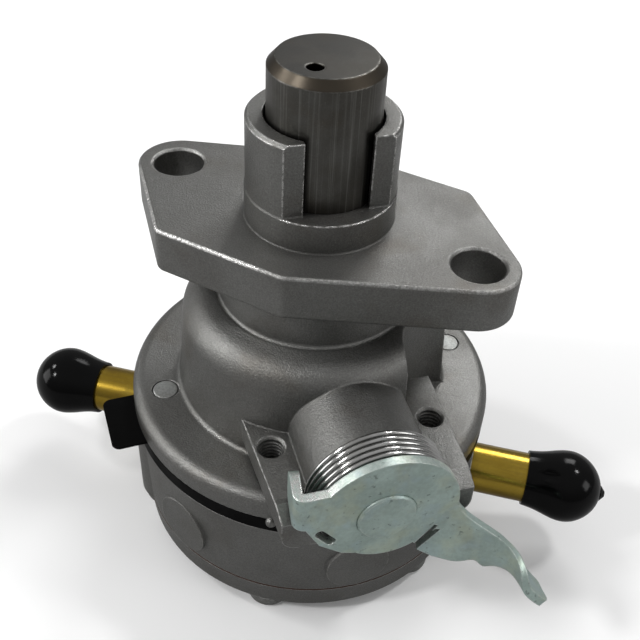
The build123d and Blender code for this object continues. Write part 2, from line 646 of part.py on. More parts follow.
def nipple_pads(low, high):
    """The flat round pads about both nipples, between two heights."""
    slab = Pos(0, 0, low) * Box(4 * RIM_RADIUS, 4 * RIM_RADIUS, high - low,
                                align=(Align.CENTER, Align.CENTER, Align.MIN))
    pads = []
    for azimuth in (OUTLET_AZIMUTH, INLET_AZIMUTH):
        pad = along_nipple(round_bar(NIPPLE_PAD_RADIUS, BOWL_RADIUS + 4, SIDE_PAD_FACE), azimuth)
        pads.append(pad & slab)
    return pads


def plenum_cutter(azimuth):
    """One half-round plenum under the bowl's floor, with its channel to the nipple."""
    height = FLOOR_BOTTOM - LOWER_BOTTOM
    half = Box(PLENUM_RADIUS, 2 * PLENUM_RADIUS, height, align=(Align.MIN, Align.CENTER, Align.MIN))
    half = Pos(DIVIDER_THICKNESS / 2, 0, LOWER_BOTTOM) * half
    pocket = round_bar(PLENUM_RADIUS, LOWER_BOTTOM, FLOOR_BOTTOM) & half
    channel = Box(NIPPLE_INNER_END - DIVIDER_THICKNESS, 2 * PASSAGE_RADIUS, height,
                  align=(Align.MIN, Align.CENTER, Align.MIN))
    pocket += Pos(DIVIDER_THICKNESS, 0, LOWER_BOTTOM) * channel
    return Rot(0, 0, azimuth) * pocket


def lower_body():
    """The valve body: bowl above, two plenums below, nipples in its wall."""
    body = turned([
        (0, LOWER_TOP), (LOWER_TOP_RADIUS, LOWER_TOP), (LOWER_BOTTOM_RADIUS, LOWER_BOTTOM), (0, LOWER_BOTTOM),
    ])
    for azimuth in SIDE_PAD_AZIMUTHS:
        body += along_nipple(round_bar(SIDE_PAD_RADIUS, BOWL_RADIUS + 4, SIDE_PAD_FACE), azimuth)
    for pad in nipple_pads(LOWER_BOTTOM, LOWER_TOP):
        body += pad
    body += on_circle(SCREW_CIRCLE_RADIUS, LUG_AZIMUTH) * round_bar(LUG_RADIUS, LOWER_BOTTOM, LOWER_TOP)
    bowl = round_bar(BOWL_RADIUS, BOWL_FLOOR, LOWER_TOP + 1)
    body -= fillet(circular_edges(bowl, BOWL_RADIUS, BOWL_FLOOR), BOWL_ROUND)
    for azimuth in (OUTLET_AZIMUTH, INLET_AZIMUTH):
        body -= plenum_cutter(azimuth)
        body -= along_nipple(round_bar(NIPPLE_RADIUS, NIPPLE_INNER_END, SIDE_PAD_FACE + 3), azimuth)
        body -= along_nipple(round_bar(PASSAGE_RADIUS, PASSAGE_INNER_END, NIPPLE_INNER_END + 0.1), azimuth)
        body -= on_circle(VALVE_OFFSET, azimuth) * round_bar(VALVE_SEAT_RADIUS, FLOOR_BOTTOM, BOWL_FLOOR)
    for cutter in screw_holes(SCREW_RADIUS + CLEARANCE_HOLE, LOWER_BOTTOM - 1, LOWER_TOP + 1):
        body -= cutter
    return body


def cover_gasket():
    """Thin gasket between lower body and bottom cover, with its own divider bar."""
    outer = round_bar(LOWER_BOTTOM_RADIUS, COVER_TOP, LOWER_BOTTOM)
    height = COVER_GASKET_THICKNESS
    gasket = outer - round_bar(PLENUM_RADIUS, COVER_TOP, LOWER_BOTTOM)
    bar = Box(DIVIDER_THICKNESS, 2 * PLENUM_RADIUS + 1, height, align=(Align.CENTER, Align.CENTER, Align.MIN))
    gasket += Location((0, 0, COVER_TOP), (0, 0, OUTLET_AZIMUTH)) * bar
    for cutter in screw_holes(SCREW_RADIUS + CLEARANCE_HOLE, COVER_TOP - 1, LOWER_BOTTOM + 1):
        gasket -= cutter
    return gasket


def bottom_cover():
    """The shallow cover with a recess under each plenum."""
    cover = turned([
        (0, COVER_TOP), (LOWER_BOTTOM_RADIUS, COVER_TOP), (COVER_BOTTOM_RADIUS, COVER_BOTTOM),
        (0, COVER_BOTTOM),
    ])
    cover = fillet(circular_edges(cover, COVER_BOTTOM_RADIUS, COVER_BOTTOM), COVER_EDGE_ROUND)
    for pad in nipple_pads(COVER_BOTTOM, COVER_TOP):
        cover += pad
    lug = round_bar(COVER_LUG_RADIUS, COVER_TOP - COVER_LUG_DEPTH, COVER_TOP)
    cover += on_circle(SCREW_CIRCLE_RADIUS, LUG_AZIMUTH) * lug
    recess = round_bar(PLENUM_RADIUS, COVER_TOP - COVER_RECESS_DEPTH, COVER_TOP)
    bar = Box(DIVIDER_THICKNESS, 3 * PLENUM_RADIUS, COVER_RECESS_DEPTH,
              align=(Align.CENTER, Align.CENTER, Align.MAX))
    cover -= recess - Location((0, 0, COVER_TOP), (0, 0, OUTLET_AZIMUTH)) * bar
    for cutter in screw_holes(SCREW_RADIUS + CLEARANCE_HOLE, COVER_BOTTOM - 1, COVER_TOP + 1):
        cover -= cutter
    return cover


def body_screw():
    """One long screw with a cross recess, drawn about Z."""
    head_bottom = COVER_BOTTOM - SCREW_HEAD_HEIGHT
    head = round_bar(SCREW_HEAD_RADIUS, head_bottom, COVER_BOTTOM)
    head = fillet(circular_edges(head, SCREW_HEAD_RADIUS, head_bottom), SCREW_HEAD_ROUND)
    for angle in (0, 90):
        slot = Box(SCREW_CROSS_LENGTH, SCREW_CROSS_WIDTH, 2 * SCREW_CROSS_DEPTH)
        head -= Location((0, 0, head_bottom), (0, 0, angle)) * slot
    end = SCREW_RADIUS - SCREW_END_RADIUS
    shank = turned([
        (0, COVER_BOTTOM), (SCREW_RADIUS, COVER_BOTTOM), (SCREW_RADIUS, RIM_TOP - 2 * end),
        (SCREW_END_RADIUS, RIM_TOP), (0, RIM_TOP),
    ])
    return head + shank


def body_screws():
    """The six screws as separate solids in one node."""
    screw = body_screw()
    return Compound([on_circle(SCREW_CIRCLE_RADIUS, azimuth) * screw for azimuth in screw_places()])


def nipple(azimuth):
    """A plain brass tube pressed into the lower body's wall."""
    edge = NIPPLE_CHAMFER
    tube = turned([
        (NIPPLE_BORE_RADIUS, NIPPLE_INNER_END), (NIPPLE_RADIUS, NIPPLE_INNER_END),
        (NIPPLE_RADIUS, NIPPLE_OUTER_END - edge), (NIPPLE_RADIUS - edge, NIPPLE_OUTER_END),
        (NIPPLE_BORE_RADIUS, NIPPLE_OUTER_END),
    ])
    return along_nipple(tube, azimuth)


def cap(azimuth, shift, nub):
    """A vinyl cap with a thin lip, a waist and a bulb, pushed on by a shift, one with a small nub."""
    bore = NIPPLE_RADIUS + CAP_GAP
    lip = Vector(CAP_LIP_RADIUS, 0, CAP_LIP)
    tip = Vector(0, 0, CAP_END)
    waist = Vector(CAP_WAIST_RADIUS, 0, CAP_WAIST)
    bulb = Vector(CAP_BULB_RADIUS, 0, CAP_BULB)
    outline = Spline(lip, waist, bulb, tip, tangents=[(0.1, 0, 1), (-1, 0, 0)])
    outline += Polyline(tip, (0, 0, CAP_LIP), lip)
    body = turned_edges(outline)
    if nub:
        body += turned([(0, CAP_END - 1), (CAP_NUB_RADIUS, CAP_END - 1), (CAP_NUB_RADIUS * 0.8, CAP_END),
                        (CAP_NUB_RADIUS * 0.3, CAP_END + CAP_NUB_LENGTH), (0, CAP_END + CAP_NUB_LENGTH)])
    body -= round_bar(bore, CAP_LIP - 1, CAP_END - CAP_END_WALL)
    return along_nipple(Pos(0, 0, -shift) * body, azimuth)


def valve_place(azimuth):
    """Where a valve's own frame goes: upright for the inlet, upside down for the outlet.

    In that frame Z points the way the disc lifts, and 0 is the floor's middle.
    """
    middle = (BOWL_FLOOR + FLOOR_BOTTOM) / 2
    flip = 180 if azimuth == OUTLET_AZIMUTH else 0
    return on_circle(VALVE_OFFSET, azimuth, middle) * Rot(flip, 0, 0)


def valve_seat_top():
    """The height of a valve's seat above the floor's middle."""
    return VALVE_SEAT_HEIGHT - FLOOR_THICKNESS / 2


def valve_seat(azimuth):
    """Ring pressed into the floor."""
    low = -FLOOR_THICKNESS / 2
    return valve_place(azimuth) * ring(VALVE_SEAT_RADIUS, VALVE_SEAT_HOLE_RADIUS, low, valve_seat_top())


def valve_disc(azimuth):
    """Rubber disc that lies on the seat."""
    top = valve_seat_top()
    return valve_place(azimuth) * round_bar(VALVE_DISC_RADIUS, top, top + VALVE_DISC_THICKNESS)


def valve_cage(azimuth):
    """Pressed cage over the disc, with holes in its roof and windows in its wall."""
    low = valve_seat_top()
    high = low + VALVE_CAGE_HEIGHT
    shell = round_bar(VALVE_SEAT_RADIUS, low, high)
    shell -= round_bar(VALVE_SEAT_RADIUS - VALVE_CAGE_WALL, low, high - VALVE_CAGE_ROOF)
    for index in range(4):
        hole = round_bar(VALVE_CAGE_HOLE_RADIUS, low, high + 1)
        shell -= on_circle(VALVE_CAGE_HOLE_OFFSET, 90 * index + 45) * hole
    for angle in (0, 60, 120):
        window = Box(3 * VALVE_SEAT_RADIUS, VALVE_WINDOW_WIDTH, VALVE_WINDOW_HEIGHT,
                     align=(Align.CENTER, Align.CENTER, Align.MIN))
        shell -= Location((0, 0, low + VALVE_WINDOW_SILL), (0, 0, angle)) * window
    return valve_place(azimuth) * shell


def valve_spring(azimuth):
    """Light spring between the disc and the cage's roof."""
    wire = VALVE_SPRING_WIRE
    low = valve_seat_top() + VALVE_DISC_THICKNESS + wire / 2
    high = valve_seat_top() + VALVE_CAGE_HEIGHT - VALVE_CAGE_ROOF - wire / 2
    pitch = (high - low) / VALVE_SPRING_TURNS
    return valve_place(azimuth) * coil(VALVE_SPRING_RADIUS, wire, low, VALVE_SPRING_TURNS, pitch)


def priming_shaft():
    """The lever's shaft, with a half-round cam end beside the rod."""
    shaft = round_bar(SHAFT_RADIUS, SHAFT_INNER_END, LEVER_FRONT + SHAFT_PROUD)
    shaft = chamfer(shaft.edges().group_by(Axis.Z)[-1], 0.3)
    groove_core = SHAFT_RADIUS - RING_DEPTH
    shaft -= ring(SHAFT_RADIUS + 1, groove_core, RING_GROOVE_PLACE, RING_GROOVE_PLACE + RING_WIDTH)
    clip_high = BOSS_INNER_END - SLIDING_GAP
    shaft -= ring(SHAFT_RADIUS + 1, SHAFT_RADIUS - CLIP_GROOVE_DEPTH, clip_high - CLIP_THICKNESS, clip_high)
    placed = along_boss(shaft)
    cut = Box(CAM_LENGTH, 3 * SHAFT_RADIUS, SHAFT_RADIUS, align=(Align.MIN, Align.CENTER, Align.MAX))
    return placed - in_boss_frame(Pos(SHAFT_INNER_END, 0, -CAM_FLAT_DROP) * cut)


def shaft_o_ring():
    """Rubber ring in the shaft's groove."""
    section_radius = RING_DEPTH / 2
    centre = Vector(SHAFT_RADIUS - RING_DEPTH + section_radius, 0, RING_GROOVE_PLACE + RING_WIDTH / 2)
    section = Plane(origin=centre, z_dir=(0, 1, 0)) * Circle(section_radius)
    return along_boss(revolve(section, Axis.Z, 360))


def shaft_clip():
    """Open ring in the shaft's inner groove, against the boss's inner end."""
    high = BOSS_INNER_END - SLIDING_GAP
    clip = ring(CLIP_RADIUS, SHAFT_RADIUS - CLIP_GROOVE_DEPTH, high - CLIP_THICKNESS, high)
    mouth = Box(2 * CLIP_RADIUS, SHAFT_RADIUS, 3 * CLIP_THICKNESS,
                align=(Align.MIN, Align.CENTER, Align.CENTER))
    return along_boss(clip - Pos(0, 0, high) * mouth)


def lever_disc():
    """The lever's flat plate, drawn in the plane (l, h) and raised along a."""
    big = Circle(LEVER_DISC_RADIUS) & Pos(0, LEVER_DISC_CUT) * Rectangle(
        3 * LEVER_DISC_RADIUS, 2 * LEVER_DISC_RADIUS, align=(Align.CENTER, Align.MIN))
    small = Pos(*LEVER_LOWER_CENTRE) * Circle(LEVER_LOWER_RADIUS)
    bend_side = LEVER_TAB_SIDE + LEVER_BEND_ROUND
    tail = Polyline(
        (bend_side, LEVER_TAB_TOP), (0, LEVER_TAB_TOP), (0, 0), *LEVER_LOWER_EDGE,
        (LEVER_TAIL_SIDE, LEVER_TAB_BOTTOM), (bend_side, LEVER_TAB_BOTTOM), close=True)
    root = Polyline(
        (0, 0), (LEVER_ROOT_SIDE, LEVER_DISC_CUT), (ARM_BEND_SIDE + 2.7, ARM_BEND_HEIGHT + 5.2),
        (ARM_BEND_SIDE + 0.2, ARM_BEND_HEIGHT), (ARM_BEND_SIDE - 1.4, ARM_BEND_HEIGHT + 0.6),
        (ARM_BEND_SIDE - 4.6, ARM_BEND_HEIGHT - 2.4), close=True)
    outline = big + small + make_face(tail) + make_face(root)
    outline -= Pos(*SLOT_CENTRE) * Rot(0, 0, SLOT_ANGLE) * SlotCenterToCenter(SLOT_SPAN, SLOT_WIDTH)
    outline -= Circle(SHAFT_RADIUS)
    plane = Plane(origin=(LEVER_BACK, 0, 0), x_dir=(0, 1, 0), z_dir=(1, 0, 0))
    return extrude(plane * outline, LEVER_THICKNESS)


def lever_tab():
    """The strip bent back from the plate's left edge, which rests on the ear and holds the spring."""
    inner = LEVER_BEND_ROUND - LEVER_THICKNESS + 0.2
    back = LEVER_FRONT - LEVER_TAB_DEPTH
    side = LEVER_TAB_SIDE
    start = side + LEVER_BEND_ROUND + 0.3
    path = FilletPolyline(
        (LEVER_FRONT - LEVER_THICKNESS / 2, start + 1.5),
        (LEVER_FRONT - LEVER_THICKNESS / 2, side + LEVER_THICKNESS / 2),
        (back, side + LEVER_THICKNESS / 2 + LEVER_TAB_LEAN), radius=LEVER_THICKNESS / 2 + inner)
    tab = extrude(trace(path, LEVER_THICKNESS), LEVER_TAB_TOP - LEVER_TAB_BOTTOM)
    tab = Pos(0, 0, LEVER_TAB_BOTTOM) * tab
    ends = [edge for edge in tab.edges().filter_by(GeomType.LINE)
            if edge.center().X < back + 0.2 and abs(edge.length - LEVER_THICKNESS) < 1e-3]
    return fillet(ends, LEVER_TAB_CORNER)


def arm_plane():
    """The joggled arm's plane: origin in the bend line, x out along the arm, y up along the line."""
    angle = radians(ARM_BEND_ANGLE)
    tilt = radians(ARM_TILT)
    outward = Vector(0, sin(angle), -cos(angle))
    x_dir = outward * cos(tilt) + Vector(1, 0, 0) * sin(tilt)
    z_dir = Vector(1, 0, 0) * cos(tilt) - outward * sin(tilt)
    return Plane(origin=(LEVER_FRONT, ARM_BEND_SIDE, ARM_BEND_HEIGHT), x_dir=x_dir, z_dir=z_dir)


def arm_direction():
    """The arm plane's own directions along and across the tongue."""
    turn = radians(TONGUE_TURN)
    return Vector(cos(turn), sin(turn)), Vector(-sin(turn), cos(turn))


def lever_arm():
    """The flat, tilted part of the arm with its bulge on the lower edge."""
    along, across = arm_direction()
    end = Vector(*TONGUE_ROOT)
    upper_end = end + across * (TONGUE_START_WIDTH / 2)
    lower_end = end - across * (TONGUE_START_WIDTH / 2)
    upper = Spline(*ARM_UPPER_EDGE, upper_end, tangents=[(1, -0.6), along])
    lower = Spline(lower_end, *ARM_LOWER_EDGE, tangents=[-along, (-1, -0.3)])
    outline = upper + Line(upper_end, lower_end) + lower
    outline += Polyline(ARM_LOWER_EDGE[-1], *ARM_ROOT_EDGE, ARM_UPPER_EDGE[0])
    return arm_plane() * extrude(make_face(outline), -LEVER_THICKNESS)


def lever_tongue():
    """The arm's end, twisted so that a thumb can press on it."""
    base = arm_plane()
    flat_along, flat_across = arm_direction()
    along = base.x_dir * flat_along.X + base.y_dir * flat_along.Y
    across = base.x_dir * flat_across.X + base.y_dir * flat_across.Y
    middle = base.from_local_coords((*TONGUE_ROOT, -LEVER_THICKNESS / 2))
    sections = []
    for index in range(TONGUE_SECTIONS + 1):
        reach = TONGUE_LENGTH * index / TONGUE_SECTIONS
        share = min(reach / TONGUE_TWIST_LENGTH, 1.0)
        blend = share * share * (3 - 2 * share)
        twist = radians(TONGUE_TWIST) * blend
        width = TONGUE_START_WIDTH + (TONGUE_WIDTH - TONGUE_START_WIDTH) * blend
        last = max(index / TONGUE_SECTIONS - TONGUE_ROUND_START, 0) / (1 - TONGUE_ROUND_START)
        width = TONGUE_TIP_WIDTH + (width - TONGUE_TIP_WIDTH) * sqrt(1 - last * last)
        x_dir = across * cos(twist) + base.z_dir * sin(twist)
        plane = Plane(origin=middle + along * reach, x_dir=x_dir, z_dir=along)
        sections.append(plane * Rectangle(width, LEVER_THICKNESS))
    return loft(sections)


def priming_lever():
    """The zinc plated pressing, in one solid."""
    lever = lever_disc() + lever_tab() + lever_arm() + lever_tongue()
    plane = Plane(origin=(LEVER_BACK - 1, *SLIT_CENTRE), x_dir=(0, 1, 0), z_dir=(1, 0, 0))
    slit = plane * Rot(0, 0, SLIT_ANGLE) * Rectangle(SLIT_LENGTH, SLIT_WIDTH)
    lever -= extrude(slit, LEVER_THICKNESS + 2)
    return in_boss_frame(lever)


def priming_leg_azimuth():
    """The angle about the boss at which the spring's first coil starts."""
    return PRIMING_HOOK_ANGLE + 90 - 360 * PRIMING_TURNS


def priming_leg_hole():
    """Hole for the spring's fixed leg, drawn about the boss's axis."""
    radius = PRIMING_WIRE / 2 + RUNNING_FIT
    hole = round_bar(radius, PRIMING_COILS_START - PRIMING_LEG_LENGTH - 0.5, SPRING_RECESS_START + 0.5)
    return on_circle(PRIMING_COIL_RADIUS, priming_leg_azimuth()) * hole


def priming_spring():
    """Torsion spring about the boss, with one leg in the body and one against the lever's tab."""
    wire = PRIMING_WIRE
    start = priming_leg_azimuth()
    spring = coil(PRIMING_COIL_RADIUS, wire, PRIMING_COILS_START, PRIMING_TURNS, PRIMING_PITCH, start)
    leg = round_bar(wire / 2, PRIMING_COILS_START - PRIMING_LEG_LENGTH, PRIMING_COILS_START)
    spring += on_circle(PRIMING_COIL_RADIUS, start) * leg
    coils_end = PRIMING_COILS_START + PRIMING_PITCH * PRIMING_TURNS
    lean = LEVER_TAB_LEAN * (LEVER_FRONT - coils_end) / LEVER_TAB_DEPTH
    tab_inner = -LEVER_TAB_SIDE - LEVER_THICKNESS - lean
    reach = tab_inner / cos(radians(180 - PRIMING_HOOK_ANGLE)) - wire / 2 - SPRING_GAP
    hook = Rot(0, 90, 0) * round_bar(wire / 2, 0, reach - PRIMING_COIL_RADIUS)
    spring += on_circle(PRIMING_COIL_RADIUS, PRIMING_HOOK_ANGLE + 90, coils_end) * hook
    return along_boss(spring)


PARTS = {
    "upper_body": upper_body(),
    "tappet": tappet(),
    "rod_guide_bush": rod_guide_bush(),
    "rod_oil_seal": rod_oil_seal(),
    "seal_retainer": seal_retainer(),
    "pull_rod": pull_rod(),
    "spring_seat": spring_seat(),
    "return_spring": return_spring(),
    "thrust_collar": thrust_collar(),
    "upper_diaphragm_plate": diaphragm_plate(MEMBRANE_TOP),
    "lower_diaphragm_plate": diaphragm_plate(LOWER_PLATE_BOTTOM),
    "diaphragm_nut": diaphragm_nut(),
    "diaphragm": diaphragm(),
    "diaphragm_gasket": diaphragm_gasket(),
    "lower_body": lower_body(),
    "cover_gasket": cover_gasket(),
    "bottom_cover": bottom_cover(),
    "body_screws": body_screws(),
    "inlet_nipple": nipple(INLET_AZIMUTH),
    "outlet_nipple": nipple(OUTLET_AZIMUTH),
    "inlet_cap": cap(INLET_AZIMUTH, 0, False),
    "outlet_cap": cap(OUTLET_AZIMUTH, OUTLET_CAP_SHIFT, True),
    "inlet_valve_seat": valve_seat(INLET_AZIMUTH),
    "inlet_valve_disc": valve_disc(INLET_AZIMUTH),
    "inlet_valve_spring": valve_spring(INLET_AZIMUTH),
    "inlet_valve_cage": valve_cage(INLET_AZIMUTH),
    "outlet_valve_seat": valve_seat(OUTLET_AZIMUTH),
    "outlet_valve_disc": valve_disc(OUTLET_AZIMUTH),
    "outlet_valve_spring": valve_spring(OUTLET_AZIMUTH),
    "outlet_valve_cage": valve_cage(OUTLET_AZIMUTH),
    "priming_lever": priming_lever(),
    "priming_shaft": priming_shaft(),
    "shaft_o_ring": shaft_o_ring(),
    "shaft_clip": shaft_clip(),
    "priming_spring": priming_spring(),
}

os.makedirs("parts", exist_ok=True)
for node, shape in PARTS.items():
    export_step(shape, f"parts/{node}.step")
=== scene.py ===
"""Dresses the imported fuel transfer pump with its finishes, and sets up the studio and the camera.

All lengths here are in metres, in the model's own frame: the origin is on the tappet's axis at the
flange's mounting face, +Z points up and +X runs through the flange's right-hand hole.
"""

import logging
import math
from dataclasses import dataclass, field
from enum import Enum

import bmesh
import bpy
from mathutils import Matrix, Vector


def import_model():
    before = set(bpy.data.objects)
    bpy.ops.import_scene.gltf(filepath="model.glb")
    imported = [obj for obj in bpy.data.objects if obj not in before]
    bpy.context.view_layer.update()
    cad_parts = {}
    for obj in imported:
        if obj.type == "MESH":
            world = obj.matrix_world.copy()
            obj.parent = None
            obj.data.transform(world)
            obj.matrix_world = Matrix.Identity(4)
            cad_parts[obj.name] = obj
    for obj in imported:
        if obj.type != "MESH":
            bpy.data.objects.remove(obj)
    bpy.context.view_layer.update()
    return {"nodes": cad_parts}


LOG = logging.getLogger("fuel_pump")
MM = 0.001

Colour = tuple[float, float, float]
Socket = bpy.types.NodeSocket


class Rubbed(Enum):
    """How strongly the edges of a finish are rubbed bright."""

    NOT = 0.0
    LIGHTLY = 0.35


class Graph:
    """A short hand for making and linking shader nodes in one tree."""

    def __init__(self, tree: bpy.types.NodeTree) -> None:
        """Takes the tree that the nodes go into.

        Args:
            tree: a material's or a group's node tree.
        """
        self.tree = tree

    def node(self, kind: str, inputs: dict | None = None, **settings) -> bpy.types.Node:
        """Makes a node.

        Args:
            kind: the node's type name without the leading "ShaderNode", or a full type name.
            inputs: values or sockets for its inputs, by name or index.
            settings: attributes of the node.

        Returns:
            The new node.
        """
        full = kind if kind.startswith("Node") else "ShaderNode" + kind
        made = self.tree.nodes.new(full)
        for name, value in settings.items():
            setattr(made, name, value)
        for key, value in (inputs or {}).items():
            self.feed(made.inputs[key], value)
        return made

    def feed(self, socket: Socket, value) -> None:
        """Links a socket, or sets its value.

        Args:
            socket: the input.
            value: an output socket, a number, a colour or a vector.
        """
        if isinstance(value, bpy.types.NodeSocket):
            self.tree.links.new(value, socket)
        elif socket.type == "RGBA" and len(value) == 3:
            socket.default_value = (*value, 1.0)
        else:
            socket.default_value = value

    def math(self, operation: str, first, second=0.0, clamp: bool = False) -> Socket:
        """Does one sum on numbers.

        Args:
            operation: the Math node's operation.
            first: a number or socket.
            second: a number or socket.
            clamp: whether the result is kept from 0 to 1.

        Returns:
            The result's socket.
        """
        made = self.node("Math", {0: first, 1: second}, operation=operation, use_clamp=clamp)
        return made.outputs[0]

    def mix(self, factor, first, second, blend: str = "MIX") -> Socket:
        """Mixes two colours.

        Args:
            factor: a number or socket from 0 to 1.
            first: the colour at 0.
            second: the colour at 1.
            blend: the blending mode.

        Returns:
            The mixed colour's socket.
        """
        made = self.node("Mix", data_type="RGBA", blend_type=blend)
        self.feed(made.inputs[0], factor)
        self.feed(made.inputs[6], first)
        self.feed(made.inputs[7], second)
        return made.outputs[2]

    def spread(self, value, low: float, high: float, to_low=0.0, to_high=1.0) -> Socket:
        """Maps a range onto another one, smoothly and clamped.

        Args:
            value: the socket to map.
            low: the value that gives to_low.
            high: the value that gives to_high.
            to_low: the result at low.
            to_high: the result at high.

        Returns:
            The result's socket.
        """
        made = self.node("MapRange", {0: value, 1: low, 2: high, 3: to_low, 4: to_high})
        made.interpolation_type = "SMOOTHSTEP"
        return made.outputs[0]

    def noise(self, vector, scale, detail: float = 3.0, roughness: float = 0.5) -> Socket:
        """A noise value over the surface.

        Args:
            vector: where it is read.
            scale: repeats in a metre.
            detail: how many octaves it has.
            roughness: how strong the finer octaves are.

        Returns:
            The noise value's socket.
        """
        made = self.node("TexNoise", {"Vector": vector, "Scale": scale, "Detail": detail})
        made.inputs["Roughness"].default_value = roughness
        return made.outputs["Fac"]

    def place(self) -> Socket:
        """The place on the piece, in metres, in the model's frame at rest."""
        return self.node("TexCoord").outputs["Object"]

    def split(self, vector) -> list[Socket]:
        """The three components of a vector.

        Args:
            vector: the vector's socket.

        Returns:
            The sockets of x, y and z.
        """
        return list(self.node("SeparateXYZ", {0: vector}).outputs)

    def join(self, x, y, z) -> Socket:
        """A vector from its components.

        Args:
            x: a number or socket.
            y: a number or socket.
            z: a number or socket.

        Returns:
            The vector's socket.
        """
        return self.node("CombineXYZ", {0: x, 1: y, 2: z}).outputs[0]

    def along(self, vector, direction: Vector) -> Socket:
        """How far a vector reaches along a direction.

        Args:
            vector: the vector's socket.
            direction: a unit vector.

        Returns:
            The dot product's socket.
        """
        made = self.node("VectorMath", {0: vector, 1: tuple(direction)}, operation="DOT_PRODUCT")
        return made.outputs["Value"]

    def group(self, tree: bpy.types.NodeTree, inputs: dict) -> bpy.types.Node:
        """Places a shared node group.

        Args:
            tree: the group's tree.
            inputs: values or sockets for its named inputs.

        Returns:
            The group node.
        """
        made = self.tree.nodes.new("ShaderNodeGroup")
        made.node_tree = tree
        for key, value in inputs.items():
            self.feed(made.inputs[key], value)
        return made


class SharedEffects:
    """The effects that more than one finish uses, each as one shader node group."""

    def __init__(self) -> None:
        """Builds every group once."""
        self.grain = self.make_grain()
        self.edge_wear_and_crevice_shade = self.make_edge_wear_and_crevice_shade()
        self.clouds = self.make_clouds()
        self.drawn_lines = self.make_drawn_lines()

    @staticmethod
    def start(name: str, inputs: dict[str, float | None], outputs: list[str]):
        """Starts a node group with named sockets.

        Args:
            name: the group's name.
            inputs: input names with their starting values, None for a vector.
            outputs: names of the number outputs.

        Returns:
            The graph, the group's input node and its output node.
        """
        tree = bpy.data.node_groups.new(name, "ShaderNodeTree")
        for key, value in inputs.items():
            kind = "NodeSocketVector" if value is None else "NodeSocketFloat"
            made = tree.interface.new_socket(name=key, in_out="INPUT", socket_type=kind)
            if value is not None:
                made.default_value = value
        for key in outputs:
            tree.interface.new_socket(name=key, in_out="OUTPUT", socket_type="NodeSocketFloat")
        graph = Graph(tree)
        return graph, graph.node("NodeGroupInput"), graph.node("NodeGroupOutput")

    def make_grain(self) -> bpy.types.NodeTree:
        """Blasted or cast grain: fine pits, and cells for painted glints.

        Returns:
            The group's tree, with outputs Height, Fleck and Glint.
        """
        graph, source, result = self.start(
            "cast_grain", {"Place": None, "Scale": 3400.0, "Glint Share": 0.7},
            ["Height", "Fleck", "Glint"])
        fine = graph.noise(source.outputs["Place"], source.outputs["Scale"], 4.0, 0.65)
        wide_scale = graph.math("MULTIPLY", source.outputs["Scale"], 0.22)
        wide = graph.noise(source.outputs["Place"], wide_scale, 2.0, 0.5)
        height = graph.math("ADD", fine, graph.math("MULTIPLY", wide, 0.5))
        cell = graph.node("TexVoronoi", {"Vector": source.outputs["Place"]})
        graph.feed(cell.inputs["Scale"], source.outputs["Scale"])
        spark = graph.node("SeparateColor", {0: cell.outputs["Color"]}).outputs[0]
        glint = graph.math("GREATER_THAN", spark, source.outputs["Glint Share"])
        near = graph.spread(cell.outputs["Distance"], 0.5, 0.15)
        graph.feed(result.inputs["Height"], height)
        graph.feed(result.inputs["Fleck"], graph.spread(fine, 0.32, 0.68))
        graph.feed(result.inputs["Glint"], graph.math("MULTIPLY", glint, near))
        return graph.tree

    def make_edge_wear_and_crevice_shade(self) -> bpy.types.NodeTree:
        """Rubbed outer edges, and painted shade in the inner corners from ambient occlusion.

        Returns:
            The group's tree, with outputs Wear and the painted corner shade.
        """
        graph, source, result = self.start(
            "edge_wear_and_crevice_shade",
            {"Place": None, "Radius": 0.0004, "Break Scale": 900.0, "Amount": 1.0, "Reach": 0.004},
            ["Wear", "Crevice Shade"])
        rounded = graph.node("Bevel", {"Radius": source.outputs["Radius"]}, samples=6)
        flat = graph.node("NewGeometry").outputs["Normal"]
        same = graph.node("VectorMath", {0: rounded.outputs[0], 1: flat}, operation="DOT_PRODUCT")
        turn = graph.spread(same.outputs["Value"], 0.995, 0.93)
        hollow = graph.node("AmbientOcclusion", {"Distance": source.outputs["Radius"]}, samples=6)
        outer = graph.spread(hollow.outputs["AO"], 0.75, 0.95)
        broken = graph.noise(source.outputs["Place"], source.outputs["Break Scale"], 3.0, 0.6)
        broken = graph.spread(broken, 0.36, 0.56)
        wear = graph.math("MULTIPLY", graph.math("MULTIPLY", turn, outer), broken)
        wear = graph.math("MULTIPLY", wear, source.outputs["Amount"], clamp=True)
        # Painted shade: ambient occlusion within Reach darkens the inner corners and the gaps between
        # parts.
        deep = graph.node("AmbientOcclusion", {"Distance": source.outputs["Reach"]}, samples=8)
        graph.feed(result.inputs["Wear"], wear)
        graph.feed(result.inputs["Crevice Shade"], graph.spread(deep.outputs["AO"], 0.85, 0.25))
        return graph.tree

    def make_clouds(self) -> bpy.types.NodeTree:
        """Soft patches for stains and uneven tone.

        Returns:
            The group's tree, with output Mask.
        """
        graph, source, result = self.start(
            "soft_clouds", {"Place": None, "Scale": 60.0, "From": 0.45, "To": 0.65}, ["Mask"])
        value = graph.noise(source.outputs["Place"], source.outputs["Scale"], 4.0, 0.55)
        made = graph.node("MapRange", {0: value})
        made.interpolation_type = "SMOOTHSTEP"
        graph.feed(made.inputs[1], source.outputs["From"])
        graph.feed(made.inputs[2], source.outputs["To"])
        graph.feed(result.inputs["Mask"], made.outputs[0])
        return graph.tree

    def make_drawn_lines(self) -> bpy.types.NodeTree:
        """Fine lines of drawing or grinding, which run one way over the surface.

        Returns:
            The group's tree, with output Lines.
        """
        graph, source, result = self.start(
            "drawn_lines", {"Place": None, "From": 0.4, "To": 0.7}, ["Lines"])
        value = graph.noise(source.outputs["Place"], 1.0, 5.0, 0.7)
        made = graph.node("MapRange", {0: value})
        made.interpolation_type = "SMOOTHSTEP"
        graph.feed(made.inputs[1], source.outputs["From"])
        graph.feed(made.inputs[2], source.outputs["To"])
        graph.feed(result.inputs["Lines"], made.outputs[0])
        return graph.tree


